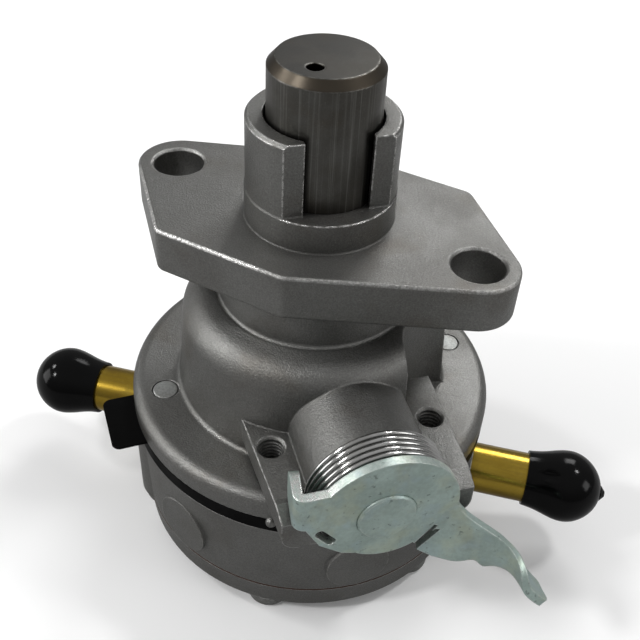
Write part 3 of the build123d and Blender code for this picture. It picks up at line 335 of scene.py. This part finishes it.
@dataclass(frozen=True)
class WornMetal:
    """A metal finish with tone patches, grain, painted shade in the corners and rubbed edges.

    The numbers are colours in linear light, roughness from 0 to 1, and lengths in metres.
    """

    name: str
    tone: Colour
    dark_tone: Colour
    stain: Colour
    edge: Colour
    metallic: float = 0.9
    roughness: float = 0.38
    roughness_spread: float = 0.12
    edge_roughness: float = 0.25
    grain_scale: float = 3400.0
    grain_depth: float = 0.00009
    speckle: float = 0.13
    glint_share: float = 0.9
    glint_strength: float = 0.08
    cloud_scale: float = 55.0
    stain_amount: float = 0.35
    # How strongly painted shade darkens the corners and gaps, and how far the occlusion reaches.
    crevice_shade_amount: float = 0.6
    crevice_shade_reach: float = 0.004
    soft_edge: float = 0.0005
    wear_radius: float = 0.00045
    rubbed: Rubbed = Rubbed.LIGHTLY
    specular: float = 0.5

    def build(self, effects: SharedEffects) -> bpy.types.Material:
        """Makes the material.

        Args:
            effects: the shared node groups.

        Returns:
            The finished material.
        """
        material = bpy.data.materials.new(self.name)
        material.use_nodes = True
        material.node_tree.nodes.clear()
        graph = Graph(material.node_tree)
        place = graph.place()
        grain = graph.group(effects.grain, {
            "Place": place, "Scale": self.grain_scale, "Glint Share": self.glint_share})
        tone_mask = graph.group(effects.clouds, {
            "Place": place, "Scale": self.cloud_scale, "From": 0.35, "To": 0.65}).outputs[0]
        stain_mask = graph.group(effects.clouds, {
            "Place": place, "Scale": self.cloud_scale * 1.7, "From": 0.52, "To": 0.72}).outputs[0]
        wear = graph.group(effects.edge_wear_and_crevice_shade, {
            "Place": place, "Radius": self.wear_radius, "Reach": self.crevice_shade_reach,
            "Amount": self.wear_amount(graph, place)})
        colour = graph.mix(tone_mask, self.tone, self.dark_tone)
        colour = graph.mix(graph.math("MULTIPLY", stain_mask, self.stain_amount), colour, self.stain)
        fleck = graph.spread(grain.outputs["Fleck"], 0.0, 1.0, 1.0 - self.speckle, 1.0 + self.speckle)
        colour = graph.mix(1.0, colour, fleck, "MULTIPLY")
        # Painted glint: a few grain cells are tinted towards the bright edge colour.
        glint = graph.math("MULTIPLY", grain.outputs["Glint"], self.glint_strength)
        colour = graph.mix(glint, colour, self.edge)
        # Painted shade: the colour is pulled towards a dim tone in corners and gaps, and the roughness
        # rises there.
        crevice_shade = graph.math("MULTIPLY", wear.outputs["Crevice Shade"], self.crevice_shade_amount)
        darker = tuple(0.35 * part for part in self.dark_tone)
        colour = graph.mix(crevice_shade, colour, darker)
        colour, edge_mask = self.local_colour(graph, effects, place, colour, wear.outputs["Wear"])
        colour = graph.mix(edge_mask, colour, self.edge)
        rough = graph.spread(tone_mask, 0.0, 1.0, self.roughness, self.roughness + self.roughness_spread)
        rough = graph.math("ADD", rough, graph.math("MULTIPLY", crevice_shade, 0.15))
        rough_edge = graph.math("SUBTRACT", self.edge_roughness, rough)
        rough = graph.math("ADD", rough, graph.math("MULTIPLY", rough_edge, edge_mask), clamp=True)
        soft = graph.node("Bevel", {"Radius": self.soft_edge}, samples=6)
        bump = graph.node("Bump", {
            "Strength": 1.0, "Distance": self.grain_depth, "Height": grain.outputs["Height"],
            "Normal": soft.outputs[0]})
        shader = graph.node("BsdfPrincipled", {
            "Base Color": colour, "Roughness": rough, "Metallic": self.metallic,
            "Specular IOR Level": self.specular, "Normal": bump.outputs[0]})
        graph.node("OutputMaterial", {"Surface": shader.outputs[0]})
        return material

    def wear_amount(self, graph: Graph, place: Socket) -> float | Socket:
        """How strongly the edges are rubbed, the same everywhere unless a finish says otherwise."""
        return self.rubbed.value

    def local_colour(
            self, graph: Graph, effects: SharedEffects, place: Socket, colour: Socket,
            edge_mask: Socket) -> tuple[Socket, Socket]:
        """Leaves the colour and the edge mask as they are, unless a finish adds its own places."""
        return colour, edge_mask


@dataclass(frozen=True)
class UpperCasting(WornMetal):
    """The upper body's casting, whose flange's rounded top edge is painted bright: rubbed metal, and a
    painted highlight strongest at the near left.
    """

    flange_round: float = 0.6 * MM
    near_edge_y: float = -4.0 * MM
    near_edge_end_x: float = 2.0 * MM
    collar_z: float = 5.0 * MM
    ledge_z: float = 5.36 * MM
    flat_distance: float = 8.92 * MM
    collar_wear: float = 0.9
    edge_wear_and_highlight_left: float = 0.95
    edge_wear_and_highlight_rest: float = 0.3
    edge_break_scale: float = 1900.0
    fade: float = 0.2 * MM

    def wear_amount(self, graph: Graph, place: Socket) -> float | Socket:
        """Rubs the collar more than the rest.

        Args:
            graph: the material's graph.
            place: the place on the piece.

        Returns:
            The socket of the amount.
        """
        height = graph.split(place)[2]
        amount = graph.spread(
            height, self.collar_z - 2 * self.fade, self.collar_z, self.rubbed.value, self.collar_wear)
        above = graph.math("ABSOLUTE", graph.math("SUBTRACT", height, self.ledge_z))
        step = graph.spread(above, 3 * self.fade, 1.5 * self.fade)
        outward = graph.along(place, BOSS.outward)
        behind = graph.spread(outward, self.flat_distance, self.flat_distance - self.fade)
        kept = graph.math("SUBTRACT", 1.0, graph.math("MULTIPLY", step, behind))
        return graph.math("MULTIPLY", amount, kept)

    def local_colour(
            self, graph: Graph, effects: SharedEffects, place: Socket, colour: Socket,
            edge_mask: Socket) -> tuple[Socket, Socket]:
        """Adds the bright rounded edge round the flange's top face: partly rubbed metal, partly a painted
        highlight on the upward-facing round, strongest at the near left.

        Args:
            graph: the material's graph.
            effects: the shared node groups.
            place: the place on the piece.
            colour: the colour so far.
            edge_mask: the edge mask so far.

        Returns:
            The new colour and edge mask.
        """
        x, y, z = graph.split(place)
        slope = graph.split(graph.node("NewGeometry").outputs["Normal"])[2]
        above = graph.spread(z, -self.flange_round - 0.3 * MM, -self.flange_round + 0.1 * MM)
        below = graph.spread(z, 0.15 * MM, 0.05 * MM)
        turned = graph.math("MULTIPLY", graph.spread(slope, 0.998, 0.95), graph.spread(slope, 0.02, 0.3))
        band = graph.math("MULTIPLY", graph.math("MULTIPLY", above, below), turned)
        # Partly a painted highlight: the bright band is strongest at the near left and weaker elsewhere.
        left = graph.spread(x, self.near_edge_end_x, self.near_edge_end_x - 6 * MM)
        near = graph.spread(y, self.near_edge_y, self.near_edge_y - 3 * MM)
        rubbed = graph.math("MULTIPLY", left, near)
        amount = graph.spread(rubbed, 0.0, 1.0, self.edge_wear_and_highlight_rest, self.edge_wear_and_highlight_left)
        broken = graph.spread(graph.noise(place, self.edge_break_scale, 4.0, 0.75), 0.42, 0.6, 0.3, 0.95)
        bright = graph.math("MULTIPLY", graph.math("MULTIPLY", band, amount), broken)
        return colour, graph.math("MAXIMUM", edge_mask, bright)


@dataclass(frozen=True)
class GroundTappet(WornMetal):
    """Ground steel with a browned chamfer and faint streaks along its length."""

    top_z: float = 27.83 * MM
    chamfer: float = 1.45 * MM
    streak: Colour = (0.36, 0.36, 0.34)
    burnt: Colour = (0.062, 0.052, 0.040)
    hole_tone: Colour = (0.004, 0.004, 0.003)
    hole_place: Colour = (0.44 * MM, -4.569 * MM, 0.0)
    hole_radius: float = 1.4 * MM
    streaks_around: float = 15.0
    streaks_along: float = 12.0
    streak_amount: float = 0.3
    burnt_amount: float = 0.95

    def local_colour(
            self, graph: Graph, effects: SharedEffects, place: Socket, colour: Socket,
            edge_mask: Socket) -> tuple[Socket, Socket]:
        """Adds the streaks, the browned chamfer, and a near-black tone inside the hole, darker further
        down.

        Args:
            graph: the material's graph.
            effects: the shared node groups.
            place: the place on the piece.
            colour: the colour so far.
            edge_mask: the edge mask so far.

        Returns:
            The new colour and edge mask.
        """
        x, y, z = graph.split(place)
        angle = graph.math("ARCTAN2", y, x)
        turn = graph.math("MULTIPLY", angle, self.streaks_around)
        around = graph.join(turn, 0.0, graph.math("MULTIPLY", z, self.streaks_along))
        streaks = graph.group(effects.drawn_lines, {"Place": around, "From": 0.5, "To": 0.72}).outputs[0]
        side = graph.spread(z, self.top_z - self.chamfer, self.top_z - self.chamfer - 0.2 * MM)
        streaked = graph.math("MULTIPLY", graph.math("MULTIPLY", streaks, side), self.streak_amount)
        colour = graph.mix(streaked, colour, self.streak)
        above = graph.spread(z, self.top_z - self.chamfer - 0.1 * MM, self.top_z - self.chamfer + 0.1 * MM)
        below = graph.spread(z, self.top_z - 0.02 * MM, self.top_z - 0.12 * MM)
        band = graph.math("MULTIPLY", above, below)
        colour = graph.mix(graph.math("MULTIPLY", band, self.burnt_amount), colour, self.burnt)
        # The hole's wall is darkened to near black below the top face.
        level = graph.join(x, y, 0.0)
        measured = graph.node("VectorMath", {0: level, 1: self.hole_place}, operation="DISTANCE")
        apart = measured.outputs["Value"]
        inside = graph.spread(apart, self.hole_radius + 0.06 * MM, self.hole_radius + 0.03 * MM)
        deep = graph.spread(z, self.top_z - 0.02 * MM, self.top_z - 0.25 * MM)
        hole_darkening = graph.math("MULTIPLY", inside, deep)
        colour = graph.mix(hole_darkening, colour, self.hole_tone)
        calm = graph.math("SUBTRACT", 1.0, graph.math("MAXIMUM", hole_darkening, band))
        return colour, graph.math("MULTIPLY", edge_mask, graph.spread(calm, 0.0, 1.0, 0.15, 1.0))


@dataclass(frozen=True)
class DrawnBrass(WornMetal):
    """Brass tube with fine lines along its length."""

    axis_azimuth: float = math.radians(15.0)
    line: Colour = (0.22, 0.14, 0.03)
    lines_along: float = 90.0
    lines_across: float = 1900.0
    line_amount: float = 0.35

    def local_colour(
            self, graph: Graph, effects: SharedEffects, place: Socket, colour: Socket,
            edge_mask: Socket) -> tuple[Socket, Socket]:
        """Adds the drawing lines.

        Args:
            graph: the material's graph.
            effects: the shared node groups.
            place: the place on the piece.
            colour: the colour so far.
            edge_mask: the edge mask so far.

        Returns:
            The new colour and edge mask.
        """
        axis = Vector((math.cos(self.axis_azimuth), math.sin(self.axis_azimuth), 0.0))
        across = Vector((-axis.y, axis.x, 0.0))
        along = graph.math("MULTIPLY", graph.along(place, axis), self.lines_along)
        sideways = graph.math("MULTIPLY", graph.along(place, across), self.lines_across)
        upward = graph.math("MULTIPLY", graph.split(place)[2], self.lines_across)
        lines = graph.group(effects.drawn_lines, {"Place": graph.join(along, sideways, upward)}).outputs[0]
        return graph.mix(graph.math("MULTIPLY", lines, self.line_amount), colour, self.line), edge_mask


@dataclass(frozen=True)
class PlatedLever(WornMetal):
    """Zinc plated sheet whose sheared edges are painted bright: bare metal, and a painted highlight on
    their upward-facing parts.
    """

    cut_side_limit: float = 11.5 * MM
    tab_side: float = -9.5 * MM
    disc_cut: float = 0.3
    yellow: Colour = (0.56, 0.60, 0.42)
    blue: Colour = (0.42, 0.54, 0.60)
    scuff: Colour = (0.12, 0.14, 0.13)
    tint_amount: float = 0.3
    scuff_amount: float = 0.6

    def local_colour(
            self, graph: Graph, effects: SharedEffects, place: Socket, colour: Socket,
            edge_mask: Socket) -> tuple[Socket, Socket]:
        """Adds the faint tints and scuffs, and the bright sheared edges beside the boss, partly bare metal
        and partly a painted highlight where they face upward.

        Args:
            graph: the material's graph.
            effects: the shared node groups.
            place: the place on the piece.
            colour: the colour so far.
            edge_mask: the edge mask so far.

        Returns:
            The new colour and edge mask.
        """
        yellowed = graph.group(effects.clouds, {
            "Place": place, "Scale": 210.0, "From": 0.5, "To": 0.68}).outputs[0]
        blued = graph.group(effects.clouds, {
            "Place": place, "Scale": 260.0, "From": 0.52, "To": 0.7}).outputs[0]
        colour = graph.mix(graph.math("MULTIPLY", yellowed, self.tint_amount), colour, self.yellow)
        colour = graph.mix(graph.math("MULTIPLY", blued, self.tint_amount), colour, self.blue)
        scuffed = graph.group(effects.clouds, {
            "Place": place, "Scale": 1000.0, "From": 0.62, "To": 0.71}).outputs[0]
        colour = graph.mix(graph.math("MULTIPLY", scuffed, self.scuff_amount), colour, self.scuff)
        # Painted highlight as well as bare metal: only sheared faces that tilt upward are brightened, with
        # a sparkling breakup.
        normal = graph.node("NewGeometry").outputs["Normal"]
        face = graph.math("ABSOLUTE", graph.along(normal, BOSS.outward))
        upward = graph.spread(graph.split(normal)[2], 0.25, 0.6)
        sheared = graph.math("MULTIPLY", graph.spread(face, 0.55, 0.3), upward)
        side = graph.along(place, BOSS.side)
        near = graph.spread(side, self.cut_side_limit + MM, self.cut_side_limit)
        tab = graph.spread(side, self.tab_side + 2.5 * MM, self.tab_side, self.disc_cut, 1.0)
        sparkle = graph.spread(graph.noise(place, 1800.0, 3.0, 0.7), 0.38, 0.62, 0.3, 1.0)
        bare_edge_and_highlight = graph.math("MULTIPLY", sheared, near)
        bare_edge_and_highlight = graph.math("MULTIPLY", bare_edge_and_highlight, graph.math("MULTIPLY", tab, sparkle))
        return colour, graph.math("MAXIMUM", edge_mask, bare_edge_and_highlight)


@dataclass(frozen=True)
class SmoothPolymer:
    """Black vinyl or rubber, with a soft uneven surface."""

    name: str
    tone: Colour
    roughness: float
    specular: float = 0.25
    coat: float = 0.0
    coat_roughness: float = 0.05
    wave_scale: float = 220.0
    wave_depth: float = 0.00005
    dust: Colour = (0.05, 0.05, 0.045)
    dust_amount: float = 0.1
    grain_scale: float = 3000.0
    grain_depth: float = 0.00001

    def build(self, effects: SharedEffects) -> bpy.types.Material:
        """Makes the material.

        Args:
            effects: the shared node groups.

        Returns:
            The finished material.
        """
        material = bpy.data.materials.new(self.name)
        material.use_nodes = True
        material.node_tree.nodes.clear()
        graph = Graph(material.node_tree)
        place = graph.place()
        specks = graph.group(effects.clouds, {
            "Place": place, "Scale": 900.0, "From": 0.6, "To": 0.75}).outputs[0]
        colour = graph.mix(graph.math("MULTIPLY", specks, self.dust_amount), self.tone, self.dust)
        clouds = graph.group(effects.clouds, {
            "Place": place, "Scale": 150.0, "From": 0.3, "To": 0.7}).outputs[0]
        rough = graph.spread(clouds, 0.0, 1.0, self.roughness, self.roughness * 1.35)
        wave = graph.noise(place, self.wave_scale, 1.0, 0.4)
        grain = graph.group(effects.grain, {"Place": place, "Scale": self.grain_scale})
        broad = graph.node("Bump", {"Strength": 1.0, "Distance": self.wave_depth, "Height": wave})
        bump = graph.node("Bump", {
            "Strength": 1.0, "Distance": self.grain_depth, "Height": grain.outputs["Height"],
            "Normal": broad.outputs[0]})
        shader = graph.node("BsdfPrincipled", {
            "Base Color": colour, "Roughness": rough, "Metallic": 0.0, "Coat Weight": self.coat,
            "Specular IOR Level": self.specular, "Coat Roughness": self.coat_roughness,
            "Normal": bump.outputs[0]})
        graph.node("OutputMaterial", {"Surface": shader.outputs[0]})
        return material


@dataclass(frozen=True)
class PlainStage:
    """The pale floor's finish, which isn't part of the object, with a weaker bounce than its look."""

    name: str = "pale_floor"
    tone: Colour = (0.95, 0.95, 0.95)
    bounce_tone: Colour = (0.39, 0.39, 0.39)

    def build(self, effects: SharedEffects) -> bpy.types.Material:
        """Makes the material.

        Args:
            effects: the shared node groups.

        Returns:
            The finished material.
        """
        material = bpy.data.materials.new(self.name)
        material.use_nodes = True
        material.node_tree.nodes.clear()
        graph = Graph(material.node_tree)
        seen = graph.node("LightPath").outputs["Is Camera Ray"]
        shader = graph.node("BsdfPrincipled", {
            "Base Color": graph.mix(seen, self.bounce_tone, self.tone), "Roughness": 0.9,
            "Specular IOR Level": 0.1})
        graph.node("OutputMaterial", {"Surface": shader.outputs[0]})
        return material


@dataclass(frozen=True)
class BossFrame:
    """The lever boss's own directions: outward along it, and sideways to the right."""

    azimuth: float = math.radians(-45.0)
    height: float = -29.6 * MM

    @property
    def outward(self) -> Vector:
        """The unit vector out along the boss."""
        return Vector((math.cos(self.azimuth), math.sin(self.azimuth), 0.0))

    @property
    def side(self) -> Vector:
        """The unit vector to the right of the boss, seen from its front."""
        return Vector((-math.sin(self.azimuth), math.cos(self.azimuth), 0.0))


BOSS = BossFrame()


class Finishes:
    """Every finish of the pump, made once."""

    def __init__(self, effects: SharedEffects) -> None:
        """Builds the materials.

        Args:
            effects: the shared node groups.
        """
        self.effects = effects
        self.upper_casting = UpperCasting(
            "blasted_upper_casting", tone=(0.19, 0.19, 0.182), dark_tone=(0.158, 0.156, 0.148),
            stain=(0.12, 0.105, 0.085), edge=(0.85, 0.84, 0.82), roughness=0.32,
            rubbed=Rubbed.LIGHTLY).build(effects)
        self.lower_casting = WornMetal(
            "blasted_lower_casting", tone=(0.19, 0.19, 0.182), dark_tone=(0.165, 0.163, 0.156),
            stain=(0.10, 0.088, 0.07), edge=(0.6, 0.59, 0.56), roughness=0.42, cloud_scale=40.0,
            stain_amount=0.25).build(effects)
        self.tappet = GroundTappet(
            "ground_tappet_steel", tone=(0.095, 0.093, 0.086), dark_tone=(0.073, 0.069, 0.061),
            stain=(0.08, 0.065, 0.045), edge=(0.6, 0.59, 0.55), metallic=1.0, roughness=0.3,
            grain_scale=4200.0, grain_depth=0.000006, speckle=0.05, glint_strength=0.05,
            cloud_scale=90.0, stain_amount=0.3, crevice_shade_amount=0.85).build(effects)
        self.zinc = PlatedLever(
            "zinc_plated_sheet", tone=(0.45, 0.56, 0.52), dark_tone=(0.38, 0.47, 0.435),
            stain=(0.26, 0.27, 0.22), edge=(0.95, 0.96, 0.93), metallic=0.85, roughness=0.38,
            grain_scale=1500.0, grain_depth=0.00001, speckle=0.05, glint_strength=0.05,
            cloud_scale=120.0, stain_amount=0.3, crevice_shade_amount=0.7, crevice_shade_reach=0.0016,
            soft_edge=0.0003).build(effects)
        self.plated_screws = WornMetal(
            "zinc_plated_screws", tone=(0.34, 0.35, 0.34), dark_tone=(0.25, 0.25, 0.24),
            stain=(0.16, 0.14, 0.11), edge=(0.9, 0.9, 0.88), metallic=0.9, roughness=0.5,
            grain_scale=2200.0, grain_depth=0.00002, cloud_scale=200.0).build(effects)
        self.spring_wire = WornMetal(
            "bright_spring_wire", tone=(0.52, 0.52, 0.51), dark_tone=(0.38, 0.38, 0.37),
            stain=(0.4, 0.38, 0.34), edge=(0.95, 0.95, 0.94), metallic=1.0, roughness=0.12,
            roughness_spread=0.06, grain_scale=3000.0, grain_depth=0.000003, speckle=0.03,
            glint_strength=0.0, cloud_scale=150.0, stain_amount=0.15, crevice_shade_amount=0.95,
            crevice_shade_reach=0.0014, soft_edge=0.0001, rubbed=Rubbed.NOT).build(effects)
        self.brass = DrawnBrass(
            "drawn_brass", tone=(0.39, 0.27, 0.04), dark_tone=(0.31, 0.205, 0.026),
            stain=(0.20, 0.13, 0.04), edge=(0.95, 0.8, 0.42), metallic=1.0, roughness=0.17,
            roughness_spread=0.08, grain_scale=2600.0, grain_depth=0.000008, speckle=0.04,
            glint_strength=0.1, cloud_scale=140.0, stain_amount=0.3, crevice_shade_amount=0.6).build(effects)
        self.dark_steel = WornMetal(
            "oiled_inner_steel", tone=(0.20, 0.20, 0.19), dark_tone=(0.14, 0.14, 0.13),
            stain=(0.11, 0.09, 0.06), edge=(0.6, 0.6, 0.58), metallic=1.0, roughness=0.32,
            cloud_scale=110.0).build(effects)
        self.bronze = WornMetal(
            "bearing_bronze", tone=(0.42, 0.25, 0.10), dark_tone=(0.32, 0.18, 0.07),
            stain=(0.2, 0.11, 0.05), edge=(0.75, 0.5, 0.25), metallic=1.0, roughness=0.35,
            cloud_scale=160.0).build(effects)
        self.vinyl = SmoothPolymer(
            "black_vinyl", tone=(0.0012, 0.0012, 0.0013), roughness=0.10, specular=0.12,
            dust=(0.012, 0.012, 0.012)).build(effects)
        self.rubber = SmoothPolymer(
            "black_rubber", tone=(0.0016, 0.0016, 0.0016), roughness=0.5, specular=0.05,
            wave_scale=120.0, wave_depth=0.00006, dust=(0.02, 0.02, 0.02), dust_amount=0.06).build(effects)
        self.fibre = SmoothPolymer(
            "gasket_fibre", tone=(0.05, 0.026, 0.018), roughness=0.75, dust=(0.12, 0.07, 0.05),
            dust_amount=0.4, grain_scale=1800.0, grain_depth=0.00003).build(effects)


def dress_node(node: bpy.types.Object, material: bpy.types.Material) -> None:
    """Gives a carried-over solid its finish.

    Args:
        node: the solid's object.
        material: the finish.
    """
    node.data.materials.clear()
    node.data.materials.append(material)
    LOG.info("dressed %s with %s", node.name, material.name)


@dataclass
class Castings:
    """The three aluminium castings."""

    upper: str = "upper_body"
    lower: tuple[str, ...] = ("lower_body", "bottom_cover")

    def dress(self, nodes: dict, finishes: Finishes) -> None:
        """Finishes the castings.

        Args:
            nodes: the solids by name.
            finishes: the finishes.
        """
        dress_node(nodes[self.upper], finishes.upper_casting)
        for name in self.lower:
            dress_node(nodes[name], finishes.lower_casting)


@dataclass
class TappetAndRod:
    """The tappet, the rod under it and what holds and seals them."""

    steel: tuple[str, ...] = (
        "pull_rod", "spring_seat", "thrust_collar", "upper_diaphragm_plate",
        "lower_diaphragm_plate", "diaphragm_nut", "seal_retainer")

    def dress(self, nodes: dict, finishes: Finishes) -> None:
        """Finishes the tappet, the rod and its guide.

        Args:
            nodes: the solids by name.
            finishes: the finishes.
        """
        dress_node(nodes["tappet"], finishes.tappet)
        dress_node(nodes["return_spring"], finishes.spring_wire)
        dress_node(nodes["rod_guide_bush"], finishes.bronze)
        dress_node(nodes["rod_oil_seal"], finishes.rubber)
        for name in self.steel:
            dress_node(nodes[name], finishes.dark_steel)


@dataclass
class SealedJoints:
    """The diaphragm, the gaskets and the screws that clamp them."""

    def dress(self, nodes: dict, finishes: Finishes) -> None:
        """Finishes the rubber, the gaskets and the screws.

        Args:
            nodes: the solids by name.
            finishes: the finishes.
        """
        dress_node(nodes["diaphragm"], finishes.rubber)
        dress_node(nodes["diaphragm_gasket"], finishes.rubber)
        dress_node(nodes["cover_gasket"], finishes.fibre)
        dress_node(nodes["body_screws"], finishes.plated_screws)


@dataclass
class Valves:
    """The two valves inside the lower body."""

    sides: tuple[str, ...] = ("inlet", "outlet")

    def dress(self, nodes: dict, finishes: Finishes) -> None:
        """Finishes both valves.

        Args:
            nodes: the solids by name.
            finishes: the finishes.
        """
        for side in self.sides:
            dress_node(nodes[f"{side}_valve_seat"], finishes.brass)
            dress_node(nodes[f"{side}_valve_disc"], finishes.rubber)
            dress_node(nodes[f"{side}_valve_spring"], finishes.spring_wire)
            dress_node(nodes[f"{side}_valve_cage"], finishes.dark_steel)


@dataclass
class HoseEnds:
    """The brass nipples and the black transit caps on them."""

    sides: tuple[str, ...] = ("inlet", "outlet")

    def dress(self, nodes: dict, finishes: Finishes) -> None:
        """Finishes the nipples and the caps.

        Args:
            nodes: the solids by name.
            finishes: the finishes.
        """
        for side in self.sides:
            dress_node(nodes[f"{side}_nipple"], finishes.brass)
            dress_node(nodes[f"{side}_cap"], finishes.vinyl)


@dataclass
class PrimingGear:
    """The hand lever with its shaft and spring."""

    def dress(self, nodes: dict, finishes: Finishes) -> None:
        """Finishes the lever, the shaft, its ring and clip, and the spring.

        Args:
            nodes: the solids by name.
            finishes: the finishes.
        """
        dress_node(nodes["priming_lever"], finishes.zinc)
        dress_node(nodes["priming_shaft"], finishes.zinc)
        dress_node(nodes["priming_spring"], finishes.spring_wire)
        dress_node(nodes["shaft_o_ring"], finishes.rubber)
        dress_node(nodes["shaft_clip"], finishes.dark_steel)


@dataclass
class SoftBox:
    """One soft square studio light that faces the pump.

    The azimuth and the elevation are in degrees, seen from the target.
    """

    name: str
    azimuth: float
    elevation: float
    size: float
    power: float
    distance: float = 0.85
    target: Colour = (0.0, 0.0, -30 * MM)
    tone: Colour = (1.0, 1.0, 1.0)

    def build(self) -> bpy.types.Object:
        """Makes the light.

        Returns:
            The light's object.
        """
        lamp = bpy.data.lights.new(self.name, "AREA")
        lamp.shape = "SQUARE"
        lamp.size = self.size
        lamp.energy = self.power
        lamp.color = self.tone
        made = bpy.data.objects.new(self.name, lamp)
        bpy.context.scene.collection.objects.link(made)
        turn, rise = math.radians(self.azimuth), math.radians(self.elevation)
        towards = Vector((math.cos(turn) * math.cos(rise), math.sin(turn) * math.cos(rise), math.sin(rise)))
        made.location = Vector(self.target) + self.distance * towards
        made.rotation_euler = (-towards).to_track_quat("-Z", "Y").to_euler()
        return made


@dataclass
class Studio:
    """The pale floor, the soft lights and the camera."""

    floor_z: float = -71.4 * MM
    floor_size: float = 6.0
    backdrop_tone: Colour = (0.9, 0.9, 0.9)
    low_tone: Colour = (0.24, 0.24, 0.24)
    high_tone: Colour = (0.5, 0.5, 0.5)
    camera_place: Colour = (59.04 * MM, -115.15 * MM, 86.43 * MM)
    camera_yaw: float = math.radians(26.62)
    camera_pitch: float = math.radians(40.66)
    camera_roll: float = -0.058
    lens: float = 50.96
    lights: list[SoftBox] = field(default_factory=lambda: [
        SoftBox("left", -166.0, 41.0, 0.10, 1.2),
        SoftBox("front_left", -127.0, 43.0, 0.10, 2.1),
        SoftBox("back", 96.0, 42.0, 0.30, 2.0),
        SoftBox("right_back", 44.0, 59.0, 0.10, 1.5),
        SoftBox("low_left", -150.0, 14.0, 0.40, 2.0),
        SoftBox("low_right", 8.0, 22.0, 0.30, 1.2),
    ])

    def build(self, finishes: Finishes) -> None:
        """Makes the floor, the world, the lights and the camera.

        Args:
            finishes: the finishes.
        """
        self.make_floor(finishes)
        self.make_world()
        for light in self.lights:
            light.build()
        self.make_camera()
        bpy.context.scene.view_settings.view_transform = "Standard"

    def make_floor(self, finishes: Finishes) -> None:
        """Makes the floor as a wide disc.

        Args:
            finishes: the finishes.
        """
        mesh = bpy.data.meshes.new("floor")
        shape = bmesh.new()
        bmesh.ops.create_circle(shape, cap_ends=True, segments=96, radius=self.floor_size / 2)
        shape.to_mesh(mesh)
        shape.free()
        floor = bpy.data.objects.new("floor", mesh)
        bpy.context.scene.collection.objects.link(floor)
        floor.location = (0.0, 0.0, self.floor_z)
        mesh.materials.append(PlainStage().build(finishes.effects))

    def make_world(self) -> None:
        """Makes the surrounding light, darker at the horizon than overhead, before a pale backdrop."""
        world = bpy.data.worlds.new("studio")
        world.use_nodes = True
        graph = Graph(world.node_tree)
        upward = graph.split(graph.node("TexCoord").outputs["Generated"])[2]
        around = graph.mix(graph.spread(upward, 0.0, 0.9), self.low_tone, self.high_tone)
        seen = graph.node("LightPath").outputs["Is Camera Ray"]
        background = world.node_tree.nodes["Background"]
        graph.feed(background.inputs["Color"], graph.mix(seen, around, self.backdrop_tone))
        bpy.context.scene.world = world

    def make_camera(self) -> None:
        """Makes the camera with the photograph's place, direction and lens."""
        yaw, pitch, roll = self.camera_yaw, self.camera_pitch, self.camera_roll
        forward = Vector((
            -math.sin(yaw) * math.cos(pitch), math.cos(yaw) * math.cos(pitch), -math.sin(pitch)))
        level_right = Vector((math.cos(yaw), math.sin(yaw), 0.0))
        level_down = forward.cross(level_right)
        right = math.cos(roll) * level_right + math.sin(roll) * level_down
        down = -math.sin(roll) * level_right + math.cos(roll) * level_down
        lens = bpy.data.cameras.new("photo_camera")
        lens.sensor_width = 36.0
        lens.lens = self.lens
        lens.clip_start = 0.005
        camera = bpy.data.objects.new("photo_camera", lens)
        bpy.context.scene.collection.objects.link(camera)
        turn = Matrix((right, -down, -forward)).transposed().to_4x4()
        camera.matrix_world = Matrix.Translation(Vector(self.camera_place)) @ turn
        bpy.context.scene.camera = camera


def main() -> None:
    """Loads the model, dresses every sub-assembly, and sets up the studio."""
    logging.basicConfig(level=logging.INFO, format="%(name)s: %(message)s")
    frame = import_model()
    nodes = frame["nodes"]
    finishes = Finishes(SharedEffects())
    Studio().build(finishes)
    for assembly in (Castings(), TappetAndRod(), SealedJoints(), Valves(), HoseEnds(), PrimingGear()):
        assembly.dress(nodes, finishes)
        LOG.info("finished %s", type(assembly).__name__)


if __name__ == "__main__":
    main()
